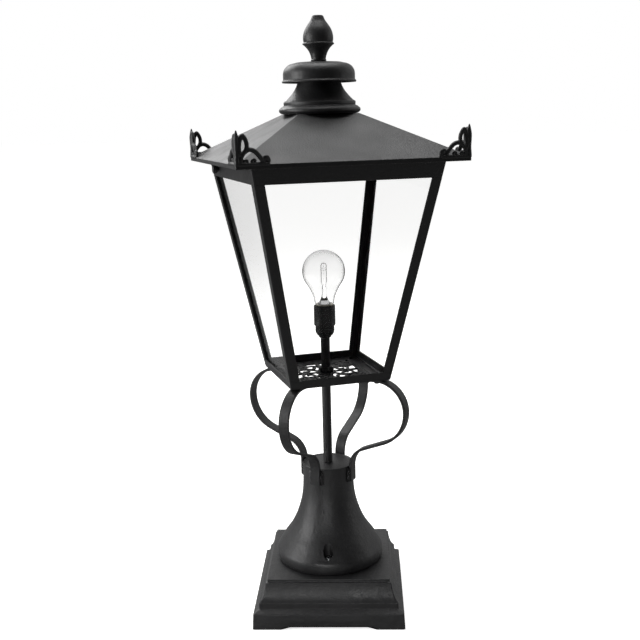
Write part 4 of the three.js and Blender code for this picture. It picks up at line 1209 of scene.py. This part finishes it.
class LANTERN_OT_ornaments(bpy.types.Operator):
    """Casts the four pierced corner ornaments"""

    bl_idname = "lantern.ornaments"
    bl_label = "Corner ornaments"

    def wing(self, bar):
        """One wing in the plane y = 0: x runs in from the corner along the eave and z runs up.
        Its bars are oval and thin a little towards their ends."""
        depth = oval(bar, bar * 0.95, 12)

        def rod(points, count=40, closed=False, thin=0.25, fat=1.0):
            line = spline(points, count, closed)
            t = np.linspace(-1, 1, count)
            scale = fat if closed else fat * (1 - thin * t**4)
            return sweep(at(*line.T), depth, (0, 1, 0), scale, closed)

        return [
            rod([(1, 1.2), (14, 1.0), (28, 1.0), (39, 1.2)], 20, thin=0),
            rod([(3.6, 13), (3.4, 22), (4.6, 30), (7.6, 35),
                 (11, 31), (12.8, 25.5), (12.2, 19.5), (8.5, 14.5)], 60, True, fat=0.95),
            rod([(4.5, 3), (6, 10), (10, 15.8), (15.6, 18.6),
                 (22, 16.6), (27.5, 11), (31.5, 5.5), (33.6, 1.4)], 44),
            rod([(6.8, 1.5), (9.8, 5.6), (12.6, 5.8), (12.4, 3.2)], 24, fat=0.62),
            rod([(19, 1.2), (18.4, 5), (21, 6.8), (23.6, 4.4)], 24, fat=0.62),
            rod([(37.6, 1.5), (39.4, 5), (37.6, 9.4), (34.4, 9.6), (34.2, 6.6)], 28, fat=0.8),
            ball((36.6, 0, 7.4), 3.0),
            ball((7.8, 0, 35.4), 2.5),
            ball((12.9, 0, 18.4), 2.3),
        ]

    def leaf(self):
        """The pointed leaf at the corner: a round stem whose radius swells and then draws out."""
        shape = spline([
            (3.4, 0), (3.2, 6), (2.7, 13), (3.2, 22), (3.3, 29), (2.4, 35), (1.3, 39.6), (0.5, 41.6),
        ], 40)
        return revolve(np.concatenate([[(0, 0)], shape, [(0, 41.8)]]), 24)

    def execute(self, context):
        bar = context.scene.lantern_sizes.ornament_bar / MM
        half = half_of("roof") - 2
        rise = 41.9  # from the ornament's foot to its leaf's tip
        shells = []
        for turn in (TURN / 2, -TURN / 4):
            shift = Matrix.Translation((half, half, 0)) @ about_z(turn)
            shells += [moved(shell, shift) for shell in self.wing(bar)]
        shells.append(moved(self.leaf(), Matrix.Translation((half - 0.4, half - 0.4, 0))))
        for i, corner in enumerate(CORNERS):
            high = span(f"corner_ornament_{corner}")[1]
            lift = Matrix.Translation((0, 0, high[2] - rise))
            turn = about_z(HEAD - TURN / 4 + i * TURN / 4) @ lift
            made = piece(
                f"eave_ornament_{corner}", [moved(shell, turn) for shell in shells],
                "powder_coated_casting", 60
            )
            place(fuse(made, 0.5, 2), "casting", f"corner_ornament_{corner}")
        return {"FINISHED"}


class LANTERN_OT_crown(bpy.types.Operator):
    """Turns the chimney, the mushroom cap and the acorn finial on their tie rod"""

    bl_idname = "lantern.crown"
    bl_label = "Chimney and finial"

    def execute(self, context):
        casting = "powder_coated_casting"
        low, high = span("chimney")
        foot, top = low[2] - 0.28, high[2]
        ogee = spline([
            (45.6, 724.4), (42.6, 727.4), (38.8, 731.6), (34.6, 737),
            (31.4, 742.6), (29.5, 748), (28.6, 754), (28.4, 760),
        ], 32)
        outside = [
            *eased([(45.5, foot), (49.6, foot), (52.2, foot + 0.5)], 0.6, 3, closed=False),
            *arc(50.9, 711.5, 4.5, 4.1, -70, 62, 14),
            *eased([(51.6, 716.4), (49.4, 717.4), (48.3, 718.2),
                    (48.9, 719.4), (48.8, 722.6), (47.2, 723.7)], 0.7, 3, closed=False),
        ]
        inside = [
            (28.4, top), (3.3, top), (3.3, top - 3), (25, top - 3),
            (25, 745), (34, 731), (42, 724), (45.5, 716),
        ]
        profile = np.concatenate([outside, ogee, eased(inside, 0.6, 2, closed=False)])
        chimney = piece("chimney_casting", [revolve(profile, 128, closed=True)], casting)
        tools = []
        for i in range(3):
            vent = revolve([(0, -40), (4, -40), (4, 40), (0, 40)], 24)
            way = (
                Matrix.Translation((0, 0, top - 9)) @ about_z(HEAD + i * TURN / 6)
                @ Matrix.Rotation(TURN / 4, 4, "X")
            )
            tools.append(piece(f"neck_tool_{i}", [moved(vent, way)], casting))
        place(carve(chimney, tools), "casting", "chimney")

        low, high = span("cap")
        rim, top = low[2], high[2]
        under = [(3.3, 765.3), (30, 765.3), (41, 763), (45, 757), (45.6, rim + 0.4), (46, rim)]
        outside = [
            (49.6, rim), (50.2, rim + 0.5), (50.3, rim + 1.6),
            (49.7, rim + 2.6), (48.9, rim + 3.3), (48.6, rim + 4.2),
            *arc(34.2, 758.6, 14.4, 14.4, 0, 78, 14),
            (30, top - 1.2), (20, top - 0.6), (11, top - 0.1), (3.3, top),
        ]
        profile = np.concatenate([eased(under, 1.2, 3, closed=False), outside])
        place(piece("cap_casting", [revolve(profile, 128, closed=True)], casting), "casting", "cap")

        low, high = span("finial")
        foot = low[2]
        stalk = spline([
            (9.8, foot + 2.6), (10.2, foot + 5.5), (12, foot + 11), (15.2, foot + 16.4), (19.2, foot + 20.6),
        ], 22)
        bulb = spline([(19.8, foot + 25.4), (20.3, foot + 29), (19.8, foot + 35),
                       (17.6, foot + 41.6), (13.6, foot + 47.8),
                       (10.2, foot + 52.4), (8.3, foot + 56.4), (7.5, foot + 58.4)], 44)
        profile = np.concatenate([
            [(0, foot), (9.9, foot)], arc(9.6, foot + 1.1, 1.0, 1.0, -60, 60, 6), stalk,
            arc(20.2, foot + 22.5, 1.1, 1.1, -60, 70, 8), [(20.0, foot + 24.2), (19.5, foot + 24.6)], bulb,
            arc(5.3, high[2] - 1.4, 1.8, 1.4, 10, 90, 6),
            [(2.4, high[2] - 0.1), (1.6, high[2] - 0.7), (0, high[2] - 0.9)],
        ])
        place(piece("acorn_finial", [revolve(profile, 112)], casting), "casting", "finial")

        low, high = span("tie_rod_nut")
        nut = moved(hex_nut(low[2], high[2], 14, 3.3), about_z(HEAD))
        place(piece("rod_nut", [nut], "zinc_plated_steel"), "zinc", "tie_rod_nut")
        rod_low, rod_high = span("tie_rod")
        z = np.arange(rod_low[2] + 0.5, low[2] - 0.5, 0.25)
        thread = np.column_stack([2.85 + 0.15 * np.cos(TURN * z / 1.0), z])
        rod = np.concatenate([
            [(0, rod_low[2]), (2.5, rod_low[2])], thread,
            [(3, low[2] - 0.2), (3, rod_high[2]), (0, rod_high[2])],
        ])
        place(piece("crown_rod", [revolve(rod, 32)], "zinc_plated_steel"), "zinc", "tie_rod")
        return {"FINISHED"}


class LANTERN_OT_hinge(bpy.types.Operator):
    """Fits the roof's hinge, its catch and the knurled thumbscrew"""

    bl_idname = "lantern.hinge"
    bl_label = "Hinge and catch"

    def execute(self, context):
        sheet = "powder_coated_sheet"
        eased_copy("hinge_frame_leaf", "frame_leaf", sheet, "coat", 0.25)
        eased_copy("hinge_roof_leaf", "roof_leaf", sheet, "coat", 0.25)
        eased_copy("hinge_pin", "leaf_pin", "zinc_plated_steel", "zinc", 0.25)
        eased_copy("roof_catch", "catch_angle", sheet, "coat", 0.3)
        joint = next(j for j in frame["joints"] if j["name"] == "thumbscrew_turn")
        axis = (
            Matrix.Translation([c / MM for c in joint["pos_m"]]) @ about_z(HEAD)
            @ Matrix.Rotation(-TURN / 4, 4, "Y")
        )
        # Measured outwards from the joint's point, 120 mm from the lantern's axis.
        tip, seat = -8.0, 9.0
        u = np.linspace(0, TURN, 144, endpoint=False)
        knurl = 1 + 0.045 * np.abs(np.sin(18 * u))
        rows = [
            (0, tip, 0), (1.7, tip, 0), (2, tip + 0.5, 0), (2, seat, 0), (4.0, seat, 0), (4.2, seat + 0.3, 0),
            (4.2, seat + 1.8, 0), (5.2, seat + 2.2, 0), (5.55, seat + 2.8, 1), (5.55, seat + 7.0, 1),
            (5.2, seat + 7.7, 0), (4.6, seat + 8, 0), (3, seat + 8, 0),
            (2.6, seat + 7.6, 0), (0, seat + 7.6, 0),
        ]
        rings = []
        for radius, z, rough in rows:
            r = radius * np.where(rough, knurl, 1.0)
            rings.append(np.stack([r * np.cos(u), r * np.sin(u), np.full_like(u, z)], -1))
        thumb = moved(skin(np.stack(rings)), axis)
        place(piece("knurled_thumbscrew", [thumb], sheet, 40), "coat", "roof_thumbscrew")
        return {"FINISHED"}


OPERATORS = (
    LANTERN_OT_stage,
    LANTERN_OT_finishes,
    LANTERN_OT_plinth,
    LANTERN_OT_column,
    LANTERN_OT_stem,
    LANTERN_OT_straps,
    LANTERN_OT_frame,
    LANTERN_OT_panes,
    LANTERN_OT_grid,
    LANTERN_OT_holder,
    LANTERN_OT_bulb,
    LANTERN_OT_roof,
    LANTERN_OT_ornaments,
    LANTERN_OT_crown,
    LANTERN_OT_hinge,
)
GROUPS = {"lantern_sizes": LanternSizes, "lantern_colours": LanternColours, "lantern_stage": LanternStage}


class LANTERN_PT_panel(bpy.types.Panel):
    """Lists the lantern's sizes, colours and pieces in the sidebar"""

    bl_idname = "LANTERN_PT_panel"
    bl_label = "Pedestal Street Lantern"
    bl_space_type = "VIEW_3D"
    bl_region_type = "UI"
    bl_category = "Lantern"

    def draw(self, context):
        for name, group in GROUPS.items():
            column = self.layout.column(align=True)
            for key in group.__annotations__:
                column.prop(getattr(context.scene, name), key)
        for operator in OPERATORS:
            self.layout.operator(operator.bl_idname)


def register():
    for kind in (*GROUPS.values(), *OPERATORS, LANTERN_PT_panel):
        bpy.utils.register_class(kind)
    for name, group in GROUPS.items():
        setattr(bpy.types.Scene, name, PointerProperty(type=group))


def unregister():
    for name in GROUPS:
        delattr(bpy.types.Scene, name)
    for kind in (LANTERN_PT_panel, *reversed(OPERATORS), *GROUPS.values()):
        bpy.utils.unregister_class(kind)


def main():
    register()
    for operator in OPERATORS:
        group, name = operator.bl_idname.split(".")
        getattr(getattr(bpy.ops, group), name)()


if __name__ == "__main__":
    main()
